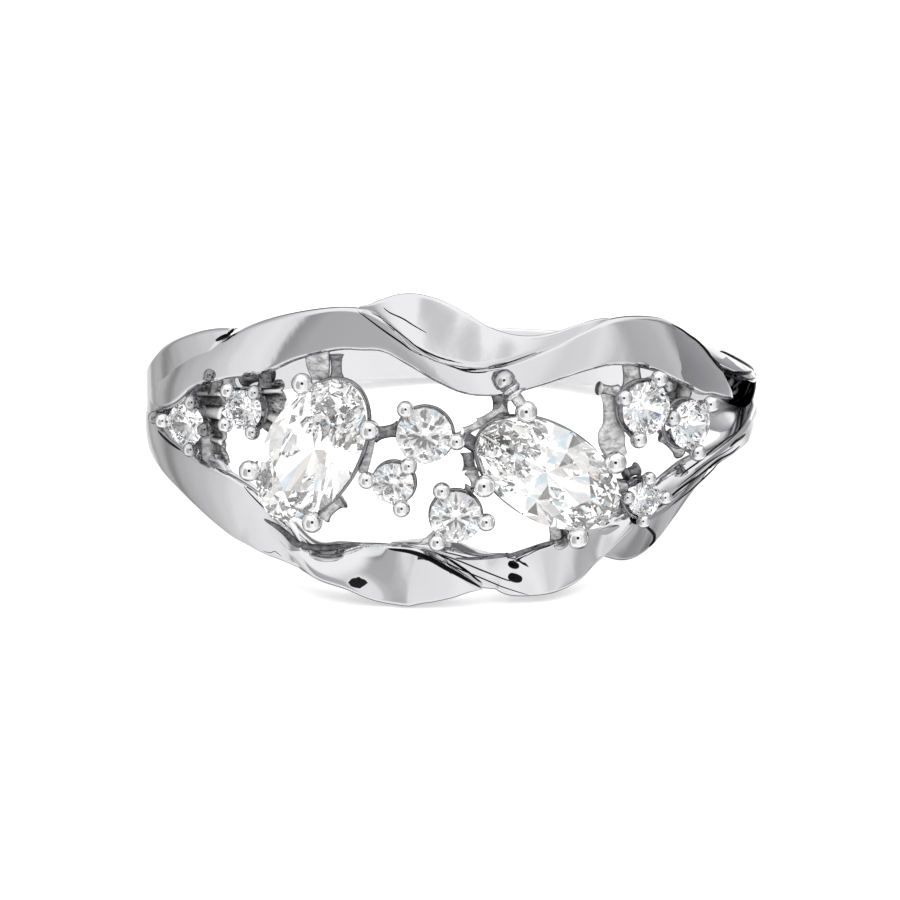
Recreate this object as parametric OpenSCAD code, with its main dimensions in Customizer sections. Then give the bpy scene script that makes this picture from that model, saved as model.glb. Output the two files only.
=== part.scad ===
// Openwork dress ring: two twisted ribbons sway apart over the front of a plain band and carry
// two oval and eight round stones in small prong baskets. Millimetres. The ring lies on its side
// on the plane z = 0, front toward -Y. Everything is laid out upright first, with the finger along
// Z, by an angle round the finger from the middle of the front (right positive), a height along
// the finger and a radius, and lie_down() then turns it to how it rests.

/* [Band] */
// Inside diameter, which the finger fills
finger_d = 17; // [16.8:0.1:17.1]
// Thickness of the plain band at the back
band_t = 1.2; // [1:0.05:1.4]
// Width of the band at the back
band_w = 1.7; // [1.4:0.05:2]
// Width of the band at the shoulders
shoulder_w = 2.5; // [2.2:0.05:2.7]

/* [Ribbons] */
// Half the thickness of a ribbon's edge
edge_t = 0.13; // [0.1:0.01:0.18]
// How far a ribbon's fullness lies toward the finger, from 0 for even to 1 for a flat face
belly = 0.66; // [0.5:0.02:0.7]
// Sections made between two rows of a ribbon's table
sections_per_row = 3; // [2:1:4]

/* [Stones] */
// Radius from the finger's axis to the girdle of a stone
seat_r = 10; // [9.95:0.01:10.1]
// Gap between a stone and the metal
stone_gap = 0.02; // [0.01:0.01:0.03]
// Table width as a share of the stone's width
table_share = 0.56; // [0.5:0.01:0.6]
// Crown height as a share of half the stone's width
crown_share = 0.32; // [0.28:0.01:0.34]
// Pavilion depth as a share of half the stone's width
pavilion_share = 0.84; // [0.8:0.01:0.86]

/* [Baskets] */
// Depth of a basket's foot below the girdle
basket_depth = 1.15; // [1:0.05:1.3]
// Wire radius of a basket's rails
rail_r = 0.12; // [0.1:0.01:0.14]

/* [Hidden] */
$fn = 40;
eps = 0.01;

// How the ring settles on its side: the lowest turn of the lower ribbon props up the front, the
// band's edge carries the back, and the whole leans over a little to the right. The origin is then
// the middle of the ring's box on the plane that it lies on.
rest_tilt = 12.39;
rest_lean = 0.97;
rest_place = [0.04, 0.63, 2.894];

// Columns of a ribbon's table. Roll 0 faces outward, and 90 sets the first edge outward.
ANGLE = 0;
HEIGHT = 1;
RADIUS = 2;
HALF_W = 3;
HALF_T = 4;
ROLL = 5;

// The ribbon above the stones, from the left shoulder to the right one
upper_ribbon = [
    [-104, -0.20, 9.10, 0.60, 0.50, 0],
    [-88, 0.20, 9.72, 0.62, 0.75, 0],
    [-70, 0.98, 9.64, 0.68, 0.75, 0],
    [-60, 1.80, 9.60, 0.66, 0.75, 0],
    [-50, 2.30, 9.58, 0.64, 0.75, 0],
    [-40, 2.88, 9.58, 0.82, 0.75, 0],
    [-32, 3.40, 9.58, 0.76, 0.75, 0],
    [-23, 3.78, 9.58, 0.70, 0.72, 0],
    [-17, 3.80, 9.58, 0.68, 0.66, 5],
    [-12, 3.57, 9.56, 0.52, 0.62, 10],
    [-7, 3.07, 9.52, 0.46, 0.58, 10],
    [-2, 2.57, 9.50, 0.44, 0.58, 5],
    [3, 2.24, 9.50, 0.46, 0.58, 0],
    [9, 2.24, 9.50, 0.52, 0.58, 0],
    [15, 2.48, 9.52, 0.54, 0.62, 0],
    [20, 2.74, 9.55, 0.58, 0.66, 0],
    [26, 3.05, 9.58, 0.66, 0.72, 0],
    [33, 3.25, 9.58, 0.78, 0.75, 0],
    [42, 3.00, 9.58, 0.86, 0.75, 0],
    [49, 2.44, 9.58, 0.82, 0.75, 0],
    [56, 1.78, 9.58, 0.72, 0.75, 0],
    [64, 1.08, 9.60, 0.54, 0.75, 0],
    [75, 0.55, 9.66, 0.48, 0.75, 0],
    [90, 0.25, 9.70, 0.55, 0.75, 0],
    [104, 0.00, 9.10, 0.60, 0.50, 0],
];

// Where the upper ribbon folds over itself near the middle
upper_fold = [
    [-19, 4.30, 9.42, 0.10, 0.26, -10],
    [-15, 4.38, 9.52, 0.36, 0.30, -20],
    [-11, 4.32, 9.55, 0.66, 0.34, -28],
    [-7, 4.07, 9.52, 0.92, 0.36, -32],
    [-2, 3.68, 9.46, 1.02, 0.38, -34],
    [3, 3.37, 9.48, 0.94, 0.38, -32],
    [9, 3.22, 9.54, 0.66, 0.36, -28],
    [15, 3.26, 9.58, 0.40, 0.32, -22],
    [21, 3.44, 9.60, 0.22, 0.28, -10],
    [27, 3.66, 9.58, 0.10, 0.24, 0],
];

// The ribbon below the stones: it turns over twice and once back
lower_ribbon = [
    [-104, 0.00, 9.10, 0.60, 0.50, 0],
    [-90, -0.68, 9.78, 0.72, 0.75, 0],
    [-76, -1.20, 9.70, 0.68, 0.75, 0],
    [-66, -1.52, 9.64, 0.72, 0.75, 0],
    [-58, -1.86, 9.60, 0.78, 0.75, 0],
    [-50, -2.32, 9.58, 0.86, 0.75, 0],
    [-43, -2.90, 9.56, 0.87, 0.72, 10],
    [-37, -3.28, 9.48, 0.82, 0.64, 40],
    [-31, -3.57, 9.40, 0.68, 0.58, 85],
    [-25, -3.72, 9.42, 0.76, 0.56, 130],
    [-19, -3.84, 9.50, 0.82, 0.66, 165],
    [-13, -3.98, 9.56, 0.97, 0.74, 180],
    [-8, -4.04, 9.58, 1.00, 0.75, 185],
    [-3, -4.08, 9.54, 0.92, 0.70, 210],
    [2, -4.13, 9.44, 0.76, 0.60, 245],
    [7, -4.08, 9.40, 0.70, 0.52, 290],
    [12, -3.96, 9.48, 0.74, 0.60, 330],
    [17, -3.98, 9.56, 0.82, 0.72, 355],
    [22, -3.70, 9.58, 0.80, 0.75, 360],
    [27, -3.27, 9.58, 0.70, 0.72, 360],
    [32, -2.90, 9.50, 0.54, 0.58, 330],
    [38, -2.42, 9.42, 0.42, 0.48, 290],
    [44, -1.96, 9.42, 0.40, 0.48, 270],
    [51, -1.45, 9.46, 0.44, 0.54, 245],
    [60, -0.92, 9.56, 0.48, 0.64, 215],
    [72, -0.58, 9.64, 0.54, 0.74, 190],
    [88, -0.42, 9.72, 0.60, 0.75, 180],
    [104, 0.00, 9.10, 0.60, 0.50, 180],
];

// Where the lower ribbon folds down at the right
lower_fold = [
    [25, -3.15, 9.30, 0.20, 0.24, 0],
    [30, -3.20, 9.38, 0.44, 0.32, 8],
    [35, -3.25, 9.46, 0.64, 0.38, 12],
    [39, -3.13, 9.50, 0.66, 0.38, 14],
    [43, -2.83, 9.53, 0.58, 0.36, 12],
    [47, -2.43, 9.55, 0.46, 0.34, 8],
    [52, -1.94, 9.56, 0.30, 0.30, 0],
    [58, -1.42, 9.54, 0.12, 0.26, 0],
];

// The pointed leaf on the left shoulder, over the start of the upper ribbon
left_fold = [
    [-104, 0.30, 9.20, 0.50, 0.30, 0],
    [-92, 0.42, 9.88, 0.66, 0.36, 0],
    [-80, 0.92, 9.84, 0.68, 0.36, 3],
    [-70, 1.50, 9.74, 0.64, 0.36, 6],
    [-62, 2.14, 9.68, 0.54, 0.34, 10],
    [-55, 2.70, 9.68, 0.42, 0.30, 13],
    [-49, 3.10, 9.70, 0.26, 0.24, 15],
    [-44, 3.40, 9.70, 0.06, 0.16, 15],
];

// The pointed leaf on the right shoulder, behind the end of the upper ribbon
right_fold = [
    [44, 2.82, 9.20, 0.10, 0.20, 0],
    [51, 2.52, 9.28, 0.30, 0.28, -20],
    [59, 2.07, 9.42, 0.42, 0.32, -25],
    [68, 1.62, 9.60, 0.46, 0.34, -25],
    [78, 1.15, 9.70, 0.44, 0.34, -15],
    [90, 0.72, 9.68, 0.48, 0.36, -5],
    [104, 0.40, 9.20, 0.45, 0.30, 0],
];

// One row a stone: angle and height of its centre, length, width, lean of its length from the
// horizontal, turn of its face, radius of its prongs' beads, the prongs' directions, and its name
LENGTH = 2;
WIDTH = 3;
LEAN = 4;
TURN = 5;
BEAD = 6;
PRONGS = 7;
NAME = 8;
stones = [
    [-26.7, -0.12, 5.2, 3.05, 59, -19, 0.34, [50, 128, -134, -50], "oval_stone_left"],
    [17.6, -0.75, 5.2, 3.05, -32, 13, 0.36, [53, 130, -128, -47], "oval_stone_right"],
    [-59, 0.05, 1.4, 1.4, 0, -33, 0.25, [67, 177, -71, -5], "round_stone_far_left"],
    [-41.8, 0.93, 1.3, 1.3, 0, -26, 0.25, [52, 129, -139, -60], "round_stone_left"],
    [-5.2, 0.55, 1.8, 1.8, 0, -4, 0.28, [124, -8], "round_stone_centre_high"],
    [-11, -1.02, 1.35, 1.35, 0, -8, 0.28, [171, -68, 49], "round_stone_centre_small"],
    [0.5, -2.05, 1.65, 1.65, 0, 0, 0.29, [117, -8, -127], "round_stone_centre_low"],
    [37.8, 1.05, 1.75, 1.75, 0, 30, 0.28, [154, 68, -111], "round_stone_right_high"],
    [49.2, 0.29, 1.6, 1.6, 0, 38, 0.28, [39, -78, 160], "round_stone_right_outer"],
    [37.5, -1.87, 1.15, 1.15, 0, 27, 0.23, [82, 169, 1, -99], "round_stone_right_low"],
];

// Posts that tie the baskets to the ribbons and to each other: the angle, height and radius of
// one end, the same of the other end, and the post's radius
FROM = 0;
TO = 1;
THICK = 2;
posts = [
    [[-25, 1.55, 9.3], [-24, 3.2, 9.3], 0.3],
    [[-34, -1.6, 9.2], [-36, -2.9, 9.2], 0.25],
    [[-18, 0.55, 9.4], [-10, 0.58, 9.4], 0.16],
    [[-22.5, -1.15, 9.45], [-13.5, -1.02, 9.3], 0.16],
    [[-1, 0.4, 9.4], [6.5, 0.45, 9.4], 0.16],
    [[3.5, -1.7, 9.4], [7.5, -0.9, 9.4], 0.16],
    [[-2.5, -2.6, 9.4], [-6, -3.3, 9.4], 0.14],
    [[-1.5, -2.8, 9.4], [-0.5, -3.5, 9.4], 0.16],
    [[13, 0.8, 9.4], [9.5, 2.2, 9.4], 0.34],
    [[9.5, 2.15, 9.3], [9.5, 2.15, 10], 0.24],
    [[20, -2.1, 9.3], [19.5, -3.3, 9.3], 0.25],
    [[-25.5, -1.7, 9.1], [-28, -3.2, 9.5], 0.2],
    [[6.5, -1.1, 9.3], [2.5, -1.4, 9.4], 0.2],
    [[28.5, 1.8, 9.4], [33.5, 1.4, 9.4], 0.18],
    [[29.5, 1.75, 9.4], [30.1, 0.05, 9.4], 0.3],
    [[30.7, 0.5, 9.36], [26.5, -0.7, 9.42], 0.27],
    [[30, -1.1, 9.4], [35, -1.6, 9.4], 0.2],
    [[38, 1.6, 9.3], [37, 2.8, 9.3], 0.28],
    [[42, 1.3, 9.3], [45, 2.4, 9.3], 0.25],
    [[51, 0.7, 9.3], [54, 1.6, 9.3], 0.24],
    [[38.5, -2.1, 9.3], [43, -2.3, 9.3], 0.22],
    [[36.5, -2.2, 9.3], [36.5, -3, 9.3], 0.2],
    [[-42, 1.2, 9.3], [-41.5, 2.5, 9.3], 0.28],
    [[-46, 1.2, 9.3], [-50, 2, 9.3], 0.22],
    [[-39, 0.9, 9.3], [-32, 0.8, 9.3], 0.28],
    [[-45, 0.7, 9.3], [-56, 0.2, 9.3], 0.25],
    [[-61, 0.3, 9.3], [-64, 1.2, 9.3], 0.22],
    [[-58, -0.3, 9.3], [-57, -1.5, 9.3], 0.25],
    [[-52, 0.3, 9.3], [-51, -1.6, 9.3], 0.22],
];

// A basket's two rails and the feet of its prongs, as shares of the stone's half sizes
upper_rail = 0.84;
lower_rail = 0.66;
prong_foot = 0.62;
// Depth of the upper rail below the girdle
upper_rail_depth = 0.42;
// How far a bead's centre lies outside and above the girdle, and how thick its prong is, as shares
// of the bead's radius
bead_seat = 0.5;
prong_share = 0.66;

finger_r = finger_d / 2;
// Points across each face of a ribbon's section
face_points = 5;

function unit(v) = v / norm(v);
function on_ring(angle, height, radius) =
    [radius * sin(angle), -radius * cos(angle), height];
function row_place(row) = on_ring(row[ANGLE], row[HEIGHT], row[RADIUS]);
function pick(table, i) = table[max(0, min(len(table) - 1, i))];

// A row between two rows of a table, on a smooth curve through all of them
function smooth_row(table, u) =
    let (i = max(0, min(len(table) - 2, floor(u))), f = u - i,
         a = pick(table, i - 1), b = pick(table, i), c = pick(table, i + 1), d = pick(table, i + 2))
    0.5 * (2 * b + (c - a) * f + (2 * a - 5 * b + 4 * c - d) * f * f
           + (3 * b - a - 3 * c + d) * f * f * f);

// One barrel-shaped section of a ribbon, square to its path and rolled about it. The side that
// faces outward is the flatter one, whichever face of the ribbon that is.
function ribbon_section(table, u) =
    let (row = smooth_row(table, u),
         along = unit(row_place(smooth_row(table, u + eps)) - row_place(smooth_row(table, u - eps))),
         ray = [sin(row[ANGLE]), -cos(row[ANGLE]), 0],
         out = unit(ray - (ray * along) * along),
         side = cross(out, along),
         wide = side * cos(row[ROLL]) + out * sin(row[ROLL]),
         deep = out * cos(row[ROLL]) - side * sin(row[ROLL]),
         edge = min(edge_t, row[HALF_T] * (1 - belly)))
    [for (face = [1, -1], k = [0 : face_points - 1])
        let (share = face * (2 * k / (face_points - 1) - 1),
             bulge = row[HALF_T] * (1 - face * belly * cos(row[ROLL])) - edge)
        row_place(row) + wide * (row[HALF_W] * share)
            + deep * (face * (edge + bulge * (1 - share * share)))];

// Sections joined ring to ring by triangles, with strips across the thickness over both ends
module skin(sections) {
    sides = len(sections[0]);
    last = len(sections) - 1;
    walls = [for (i = [0 : last - 1], k = [0 : sides - 1], half = [0, 1])
        let (a = i * sides + k, b = i * sides + (k + 1) % sides)
        half == 0 ? [a, b + sides, a + sides] : [a, b, b + sides]];
    ends = [for (k = [0 : sides / 2 - 2], far = [0, 1])
        let (a = far * last * sides, across = sides - 1)
        far == 0 ? [a + across - k, a + across - k - 1, a + k + 1, a + k]
                 : [a + k, a + k + 1, a + across - k - 1, a + across - k]];
    polyhedron(points = [for (s = sections) each s], faces = concat(walls, ends));
}

module ribbon(table) {
    steps = (len(table) - 1) * sections_per_row;
    skin([for (i = [0 : steps]) ribbon_section(table, i / sections_per_row)]);
}

// The plain band: a crowned ring that narrows from the shoulders to the back
module band() {
    crown = 0.25;
    start = 1;
    outer_r = finger_r + band_t;
    half_shoulder = shoulder_w / 2;
    // The half width that the taper would reach one more radius behind the band
    half_far = band_w - half_shoulder;
    intersection() {
        rotate_extrude($fn = 96)
            polygon([[finger_r, -half_shoulder], [outer_r - crown, -half_shoulder],
                     [outer_r - crown / 3, -half_shoulder / 2], [outer_r, 0],
                     [outer_r - crown / 3, half_shoulder / 2],
                     [outer_r - crown, half_shoulder], [finger_r, half_shoulder]]);
        rotate([90, 0, 90])
            linear_extrude(3 * finger_d, center = true)
                polygon([[start, -half_shoulder], [2 * outer_r - start, -half_far],
                         [2 * outer_r - start, half_far], [start, half_shoulder]]);
    }
}

// Puts its children on a stone's seat, with Z out of the stone's face and X along its length
module seat(stone) {
    translate(on_ring(stone[ANGLE], stone[HEIGHT], seat_r))
        rotate([0, 0, stone[TURN]])
            rotate([90, 0, 0])
                rotate([0, 0, stone[LEAN]])
                    children();
}

module rod(from, to, radius) {
    way = to - from;
    translate(from)
        rotate([0, acos(way[2] / norm(way)), atan2(way[1], way[0])])
            cylinder(h = norm(way), r = radius);
}

// A wire hoop under an oval stone
module oval_rail(half_l, half_w, height) {
    turns = 24;
    sides = 6;
    hoop = [for (i = [0 : turns - 1])
        let (t = 360 * i / turns, out = unit([cos(t) / half_l, sin(t) / half_w, 0]))
        [for (k = [0 : sides - 1])
            [half_l * cos(t), half_w * sin(t), height]
                + rail_r * (out * cos(360 * k / sides) + [0, 0, sin(360 * k / sides)])]];
    polyhedron(
        points = [for (s = hoop) each s],
        faces = [for (i = [0 : turns - 1], k = [0 : sides - 1], half = [0, 1])
            let (a = i * sides + k, b = i * sides + (k + 1) % sides,
                 c = (i + 1) % turns * sides + k, d = (i + 1) % turns * sides + (k + 1) % sides)
            half == 0 ? [a, d, c] : [a, b, d]]);
}

module round_rail(radius, height) {
    translate([0, 0, height])
        rotate_extrude()
            translate([radius, 0])
                circle(rail_r);
}

module rail(stone, share, height) {
    if (stone[LENGTH] == stone[WIDTH])
        round_rail(share * stone[WIDTH] / 2, height);
    else
        oval_rail(share * stone[LENGTH] / 2, share * stone[WIDTH] / 2, height);
}

// A prong leans out from the basket's foot, passes the girdle and ends in a bead over the crown
module prong(stone, t) {
    rim = [stone[LENGTH] / 2 * cos(t), stone[WIDTH] / 2 * sin(t)];
    out = unit([cos(t) / stone[LENGTH], sin(t) / stone[WIDTH]]);
    foot = concat(prong_foot * rim, -basket_depth);
    tip = concat(rim + bead_seat * stone[BEAD] * out, bead_seat * stone[BEAD]);
    rod(foot, tip, prong_share * stone[BEAD]);
    translate(tip)
        sphere(stone[BEAD]);
}

module basket(stone) {
    seat(stone) {
        rail(stone, upper_rail, -upper_rail_depth);
        rail(stone, lower_rail, rail_r - basket_depth);
        for (t = stone[PRONGS])
            prong(stone, t);
    }
}

module all_posts() {
    for (p = posts)
        rod(on_ring(p[FROM][0], p[FROM][1], p[FROM][2]), on_ring(p[TO][0], p[TO][1], p[TO][2]),
            p[THICK]);
}

// The cast metal, all in one. The finger's bore and the room that each stone takes are cut last.
module ring_body() {
    color("silver")
        lie_down()
            difference() {
                union() {
                    band();
                    ribbon(upper_ribbon);
                    ribbon(upper_fold);
                    ribbon(lower_ribbon);
                    ribbon(lower_fold);
                    ribbon(left_fold);
                    ribbon(right_fold);
                    for (s = stones)
                        basket(s);
                    all_posts();
                }
                cylinder(h = 2 * finger_d, r = finger_r, center = true, $fn = 96);
                for (s = stones)
                    seat(s)
                        brilliant(s[LENGTH] / 2 + stone_gap, s[WIDTH] / 2 + stone_gap);
            }
}

// A brilliant-cut stone: eight-sided table, stars, kites, halves, girdle and pavilion. The corners
// are [angle, share of the half length and half width, height as a share of the half width].
module brilliant(half_l, half_w) {
    girdle = 0.02;
    star_r = 0.76;
    slope = (crown_share - girdle) / (1 - table_share);
    star_h = crown_share - (star_r * cos(22.5) - table_share) * slope;
    lower_r = 0.22;
    lower_h = -girdle - pavilion_share * (1 - lower_r * cos(22.5));
    corners = concat(
        [for (k = [0 : 7]) [45 * k, table_share, crown_share]],
        [for (k = [0 : 7]) [45 * k + 22.5, star_r, star_h]],
        [for (k = [0 : 15]) [22.5 * k, 1, girdle]],
        [for (k = [0 : 15]) [22.5 * k, 1, -girdle]],
        [for (k = [0 : 7]) [45 * k + 22.5, lower_r, lower_h]],
        [[0, 0, -girdle - pavilion_share]]);
    star = 8;
    rim = 16;
    keel = 32;
    low = 48;
    culet = 56;
    faces = concat(
        [[for (k = [0 : 7]) 7 - k]],
        [for (k = [0 : 7]) [k, (k + 1) % 8, star + k]],
        [for (k = [0 : 7]) [k, star + k, rim + 2 * k]],
        [for (k = [0 : 7]) [k, rim + 2 * k, star + (k + 7) % 8]],
        [for (k = [0 : 7]) [star + k, rim + 2 * k + 1, rim + 2 * k]],
        [for (k = [0 : 7]) [star + k, rim + (2 * k + 2) % 16, rim + 2 * k + 1]],
        [for (k = [0 : 15]) [rim + k, rim + (k + 1) % 16, keel + (k + 1) % 16]],
        [for (k = [0 : 15]) [rim + k, keel + (k + 1) % 16, keel + k]],
        [for (k = [0 : 7]) [low + k, keel + 2 * k, keel + 2 * k + 1]],
        [for (k = [0 : 7]) [low + k, keel + 2 * k + 1, keel + (2 * k + 2) % 16]],
        [for (k = [0 : 7]) [culet, keel + 2 * k, low + k]],
        [for (k = [0 : 7]) [culet, low + (k + 7) % 8, keel + 2 * k]]);
    polyhedron(
        points = [for (c = corners)
            [half_l * c[1] * cos(c[0]), half_w * c[1] * sin(c[0]), half_w * c[2]]],
        faces = faces);
}

module stone(name) {
    for (s = stones)
        if (s[NAME] == name)
            color("white")
                lie_down()
                    seat(s)
                        brilliant(s[LENGTH] / 2, s[WIDTH] / 2);
}

// From upright, with the finger along Z, to how the ring rests on the plane z = 0
module lie_down() {
    translate(rest_place)
        rotate([-rest_tilt, rest_lean, 0])
            children();
}

ring_body();
stone("oval_stone_left");  // oval_stone_left
stone("oval_stone_right");  // oval_stone_right
stone("round_stone_far_left");  // round_stone_far_left
stone("round_stone_left");  // round_stone_left
stone("round_stone_centre_high");  // round_stone_centre_high
stone("round_stone_centre_small");  // round_stone_centre_small
stone("round_stone_centre_low");  // round_stone_centre_low
stone("round_stone_right_high");  // round_stone_right_high
stone("round_stone_right_outer");  // round_stone_right_outer
stone("round_stone_right_low");  // round_stone_right_low
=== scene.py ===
# %% [markdown]
# # An openwork ring with oval and round stones
#
# Two silver ribbons sway apart over the front of a plain band, and ten clear stones stand between
# them in small prong baskets. The ring lies on its side on a white table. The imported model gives
# every piece its place; here each one gets its polished, flowing surface and its finish. The
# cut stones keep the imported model's facets and get the look of clear crystal.

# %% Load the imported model
import math

import bpy
import numpy as np
from mathutils import Matrix, Vector
from mathutils.bvhtree import BVHTree


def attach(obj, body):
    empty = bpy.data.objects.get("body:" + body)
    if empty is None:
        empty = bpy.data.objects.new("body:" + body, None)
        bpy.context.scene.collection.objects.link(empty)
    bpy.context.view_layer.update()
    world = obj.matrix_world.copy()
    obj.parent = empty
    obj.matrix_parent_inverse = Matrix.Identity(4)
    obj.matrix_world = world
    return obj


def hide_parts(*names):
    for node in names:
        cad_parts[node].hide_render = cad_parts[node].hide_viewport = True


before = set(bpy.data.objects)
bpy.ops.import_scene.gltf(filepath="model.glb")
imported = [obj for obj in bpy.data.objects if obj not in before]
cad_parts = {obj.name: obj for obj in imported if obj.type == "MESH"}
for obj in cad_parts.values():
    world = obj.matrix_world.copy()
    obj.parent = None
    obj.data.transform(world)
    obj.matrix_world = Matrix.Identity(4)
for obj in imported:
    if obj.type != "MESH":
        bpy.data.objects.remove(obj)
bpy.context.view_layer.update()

MM = 1000

# %% [markdown]
# ## How the ring lies, and the camera
#
# A ring is easiest to shape upright, with the finger along Z, so all sizes below are in
# millimetres in that frame: an angle round the finger from the middle of the front, a height
# along the finger and a radius. One rotation and one shift then lay everything down as the ring
# really rests, propped up at the front by its widest turn. The camera is placed in the upright
# frame too and laid down with it, because its angle was read against the ring.

# %% Lay the ring down
REST_TILT = 12.39
REST_LEAN = 0.97
REST_PLACE = np.array([0.04, 0.63, 2.894])


def turned(axis, degrees):
    """A rotation about one axis, as a 3 by 3 array."""
    return np.array(Matrix.Rotation(math.radians(degrees), 3, axis))


LAY = turned("Y", REST_LEAN) @ turned("X", -REST_TILT)


def lay(points):
    """Upright millimetres to metres as the ring lies: turned, shifted, over a thousand."""
    return (np.asarray(points, float) @ LAY.T + REST_PLACE) / MM


# %% The camera
VIEW_ABOVE = 10.5
AHEAD = np.array([0, math.cos(math.radians(VIEW_ABOVE)), -math.sin(math.radians(VIEW_ABOVE))])
VIEW_DISTANCE = 270.0
IMAGE_SIDE = 900
SCALE_AT_RING = 30.6
RING_SHOWS_AT = (453.0, 397.5)
SENSOR = 36.0
NEAR_CLIP = 0.01


def make_camera():
    """A long lens square to its line of sight: the ring's centre is off the picture's centre by
    the offset in pixels over the scale in pixels per millimetre."""
    right = np.array([1.0, 0, 0])
    up = np.cross(right, AHEAD)
    middle = IMAGE_SIDE / 2
    aim = right * (middle - RING_SHOWS_AT[0]) - up * (middle - RING_SHOWS_AT[1])
    place = aim / SCALE_AT_RING - AHEAD * VIEW_DISTANCE
    camera = bpy.data.objects.new("camera", bpy.data.cameras.new("camera"))
    camera.data.sensor_width = SENSOR
    camera.data.lens = SCALE_AT_RING * VIEW_DISTANCE * SENSOR / IMAGE_SIDE
    camera.data.clip_start = NEAR_CLIP
    pose = Matrix(LAY @ np.stack([right, up, -AHEAD], 1)).to_4x4()
    pose.translation = lay(place)
    camera.matrix_world = pose
    bpy.context.scene.collection.objects.link(camera)
    bpy.context.scene.camera = camera
    return LAY @ AHEAD


SIGHT = make_camera()
print("the camera looks down by", round(math.degrees(math.asin(-SIGHT[2])), 1), "degrees")

# %% [markdown]
# ## Making surfaces from grids
#
# Every new piece is a grid of points worked out at once by numpy: the rows run along a path and
# the columns run round it. One function turns such a grid into a mesh and closes its ends.

# %% Grids to meshes
ROOT = "root"


def unit(vectors):
    """Vectors scaled to length one, along the last axis."""
    return vectors / np.linalg.norm(vectors, axis=-1, keepdims=True)


def grid_faces(rows, columns, joined_ends=False):
    """Quads of a grid whose columns close on themselves. The corner after (row, column) is one
    column on, and the last row meets the first if joined_ends."""
    row = np.arange(rows if joined_ends else rows - 1)[:, None]
    column = np.arange(columns)[None, :]
    beside = (column + 1) % columns
    above = (row + 1) % rows
    corners = [row * columns + column, row * columns + beside,
               above * columns + beside, above * columns + column]
    return np.stack([np.broadcast_to(c, (len(row), columns)) for c in corners], -1).reshape(-1, 4)


def make_piece(name, shells, smooth=True):
    """One object from shells of (points, faces), laid down; faces are lists of corner numbers."""
    points, faces, start = [], [], 0
    for shell_points, shell_faces in shells:
        points.append(np.reshape(shell_points, (-1, 3)))
        faces += [[int(corner) + start for corner in face] for face in shell_faces]
        start += len(points[-1])
    mesh = bpy.data.meshes.new(name)
    mesh.from_pydata(lay(np.concatenate(points)).tolist(), [], faces)
    mesh.polygons.foreach_set("use_smooth", np.full(len(faces), smooth))
    upright = np.concatenate(points)
    from_axis = mesh.attributes.new("from_axis", "FLOAT", "POINT")
    from_axis.data.foreach_set("value", np.hypot(upright[:, 0], upright[:, 1]))
    mesh.update()
    piece = bpy.data.objects.new(name, mesh)
    bpy.context.scene.collection.objects.link(piece)
    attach(piece, ROOT)
    return piece


def tube(points, joined_ends=False):
    """A shell from a grid of rings, its open ends closed by one flat face each."""
    rows, columns = points.shape[:2]
    faces = grid_faces(rows, columns, joined_ends).tolist()
    if not joined_ends:
        faces.append(list(range(columns))[::-1])
        faces.append([(rows - 1) * columns + k for k in range(columns)])
    return points, faces


# %% [markdown]
# ## The twisted ribbons
#
# A cast ribbon is a thick strip with a nearly flat polished face, edges rounded by the polishing
# wheel and a fuller belly against the finger. Each one is a section carried along a path. A
# table gives the path and the section's size at a few angles, a smooth curve runs through its
# rows, and the roll column turns the section over where the ribbon twists. The upper ribbon is
# one long strip. A thin edge and a broad fold lie on it where it turns over near the middle, and
# a recessed strip carries on from its right end to the band.

# %% Tables of the upper ribbon
ANGLE, HEIGHT, RADIUS, HALF_W, HALF_T, ROLL = range(6)
UPPER_RIBBON = [
    (-112, 0.10, 8.90, 0.60, 0.50, 0),
    (-100, 0.16, 9.50, 0.66, 0.60, 0),
    (-88, 0.20, 9.72, 0.62, 0.75, 0),
    (-70, 0.98, 9.64, 0.68, 0.75, 0),
    (-60, 1.80, 9.60, 0.66, 0.75, 0),
    (-50, 2.30, 9.58, 0.64, 0.75, 0),
    (-40, 2.88, 9.58, 0.82, 0.75, 0),
    (-32, 3.40, 9.58, 0.76, 0.75, 0),
    (-23, 3.78, 9.58, 0.70, 0.72, 0),
    (-17, 3.80, 9.58, 0.68, 0.66, 5),
    (-12, 3.57, 9.56, 0.52, 0.62, 10),
    (-7, 3.07, 9.52, 0.46, 0.58, 11),
    (-2, 2.57, 9.50, 0.44, 0.58, 11),
    (3, 2.24, 9.50, 0.46, 0.58, 9),
    (9, 2.24, 9.50, 0.52, 0.58, 5),
    (15, 2.48, 9.52, 0.54, 0.62, 0),
    (20, 2.74, 9.55, 0.58, 0.66, 0),
    (26, 3.05, 9.58, 0.66, 0.72, 0),
    (33, 3.25, 9.58, 0.78, 0.75, 0),
    (42, 3.00, 9.58, 0.86, 0.75, 0),
    (49, 2.44, 9.58, 0.82, 0.75, 0),
    (56, 1.78, 9.58, 0.72, 0.75, 0),
    (60, 1.46, 9.58, 0.55, 0.72, 0),
    (64, 1.08, 9.56, 0.36, 0.66, 0),
    (68, 0.78, 9.50, 0.20, 0.56, 0),
    (72, 0.50, 9.40, 0.06, 0.40, 0),
]
UPPER_EDGE = [
    (-17.5, 4.40, 9.72, 0.04, 0.16, 0),
    (-15.5, 4.27, 9.78, 0.11, 0.20, 0),
    (-13, 4.03, 9.82, 0.15, 0.22, 0),
    (-10, 3.69, 9.83, 0.15, 0.22, 0),
    (-7, 3.34, 9.82, 0.13, 0.22, 0),
    (-4, 3.05, 9.78, 0.09, 0.20, 0),
    (0, 2.76, 9.72, 0.06, 0.18, 0),
    (4, 2.60, 9.68, 0.04, 0.16, 0),
]
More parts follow.
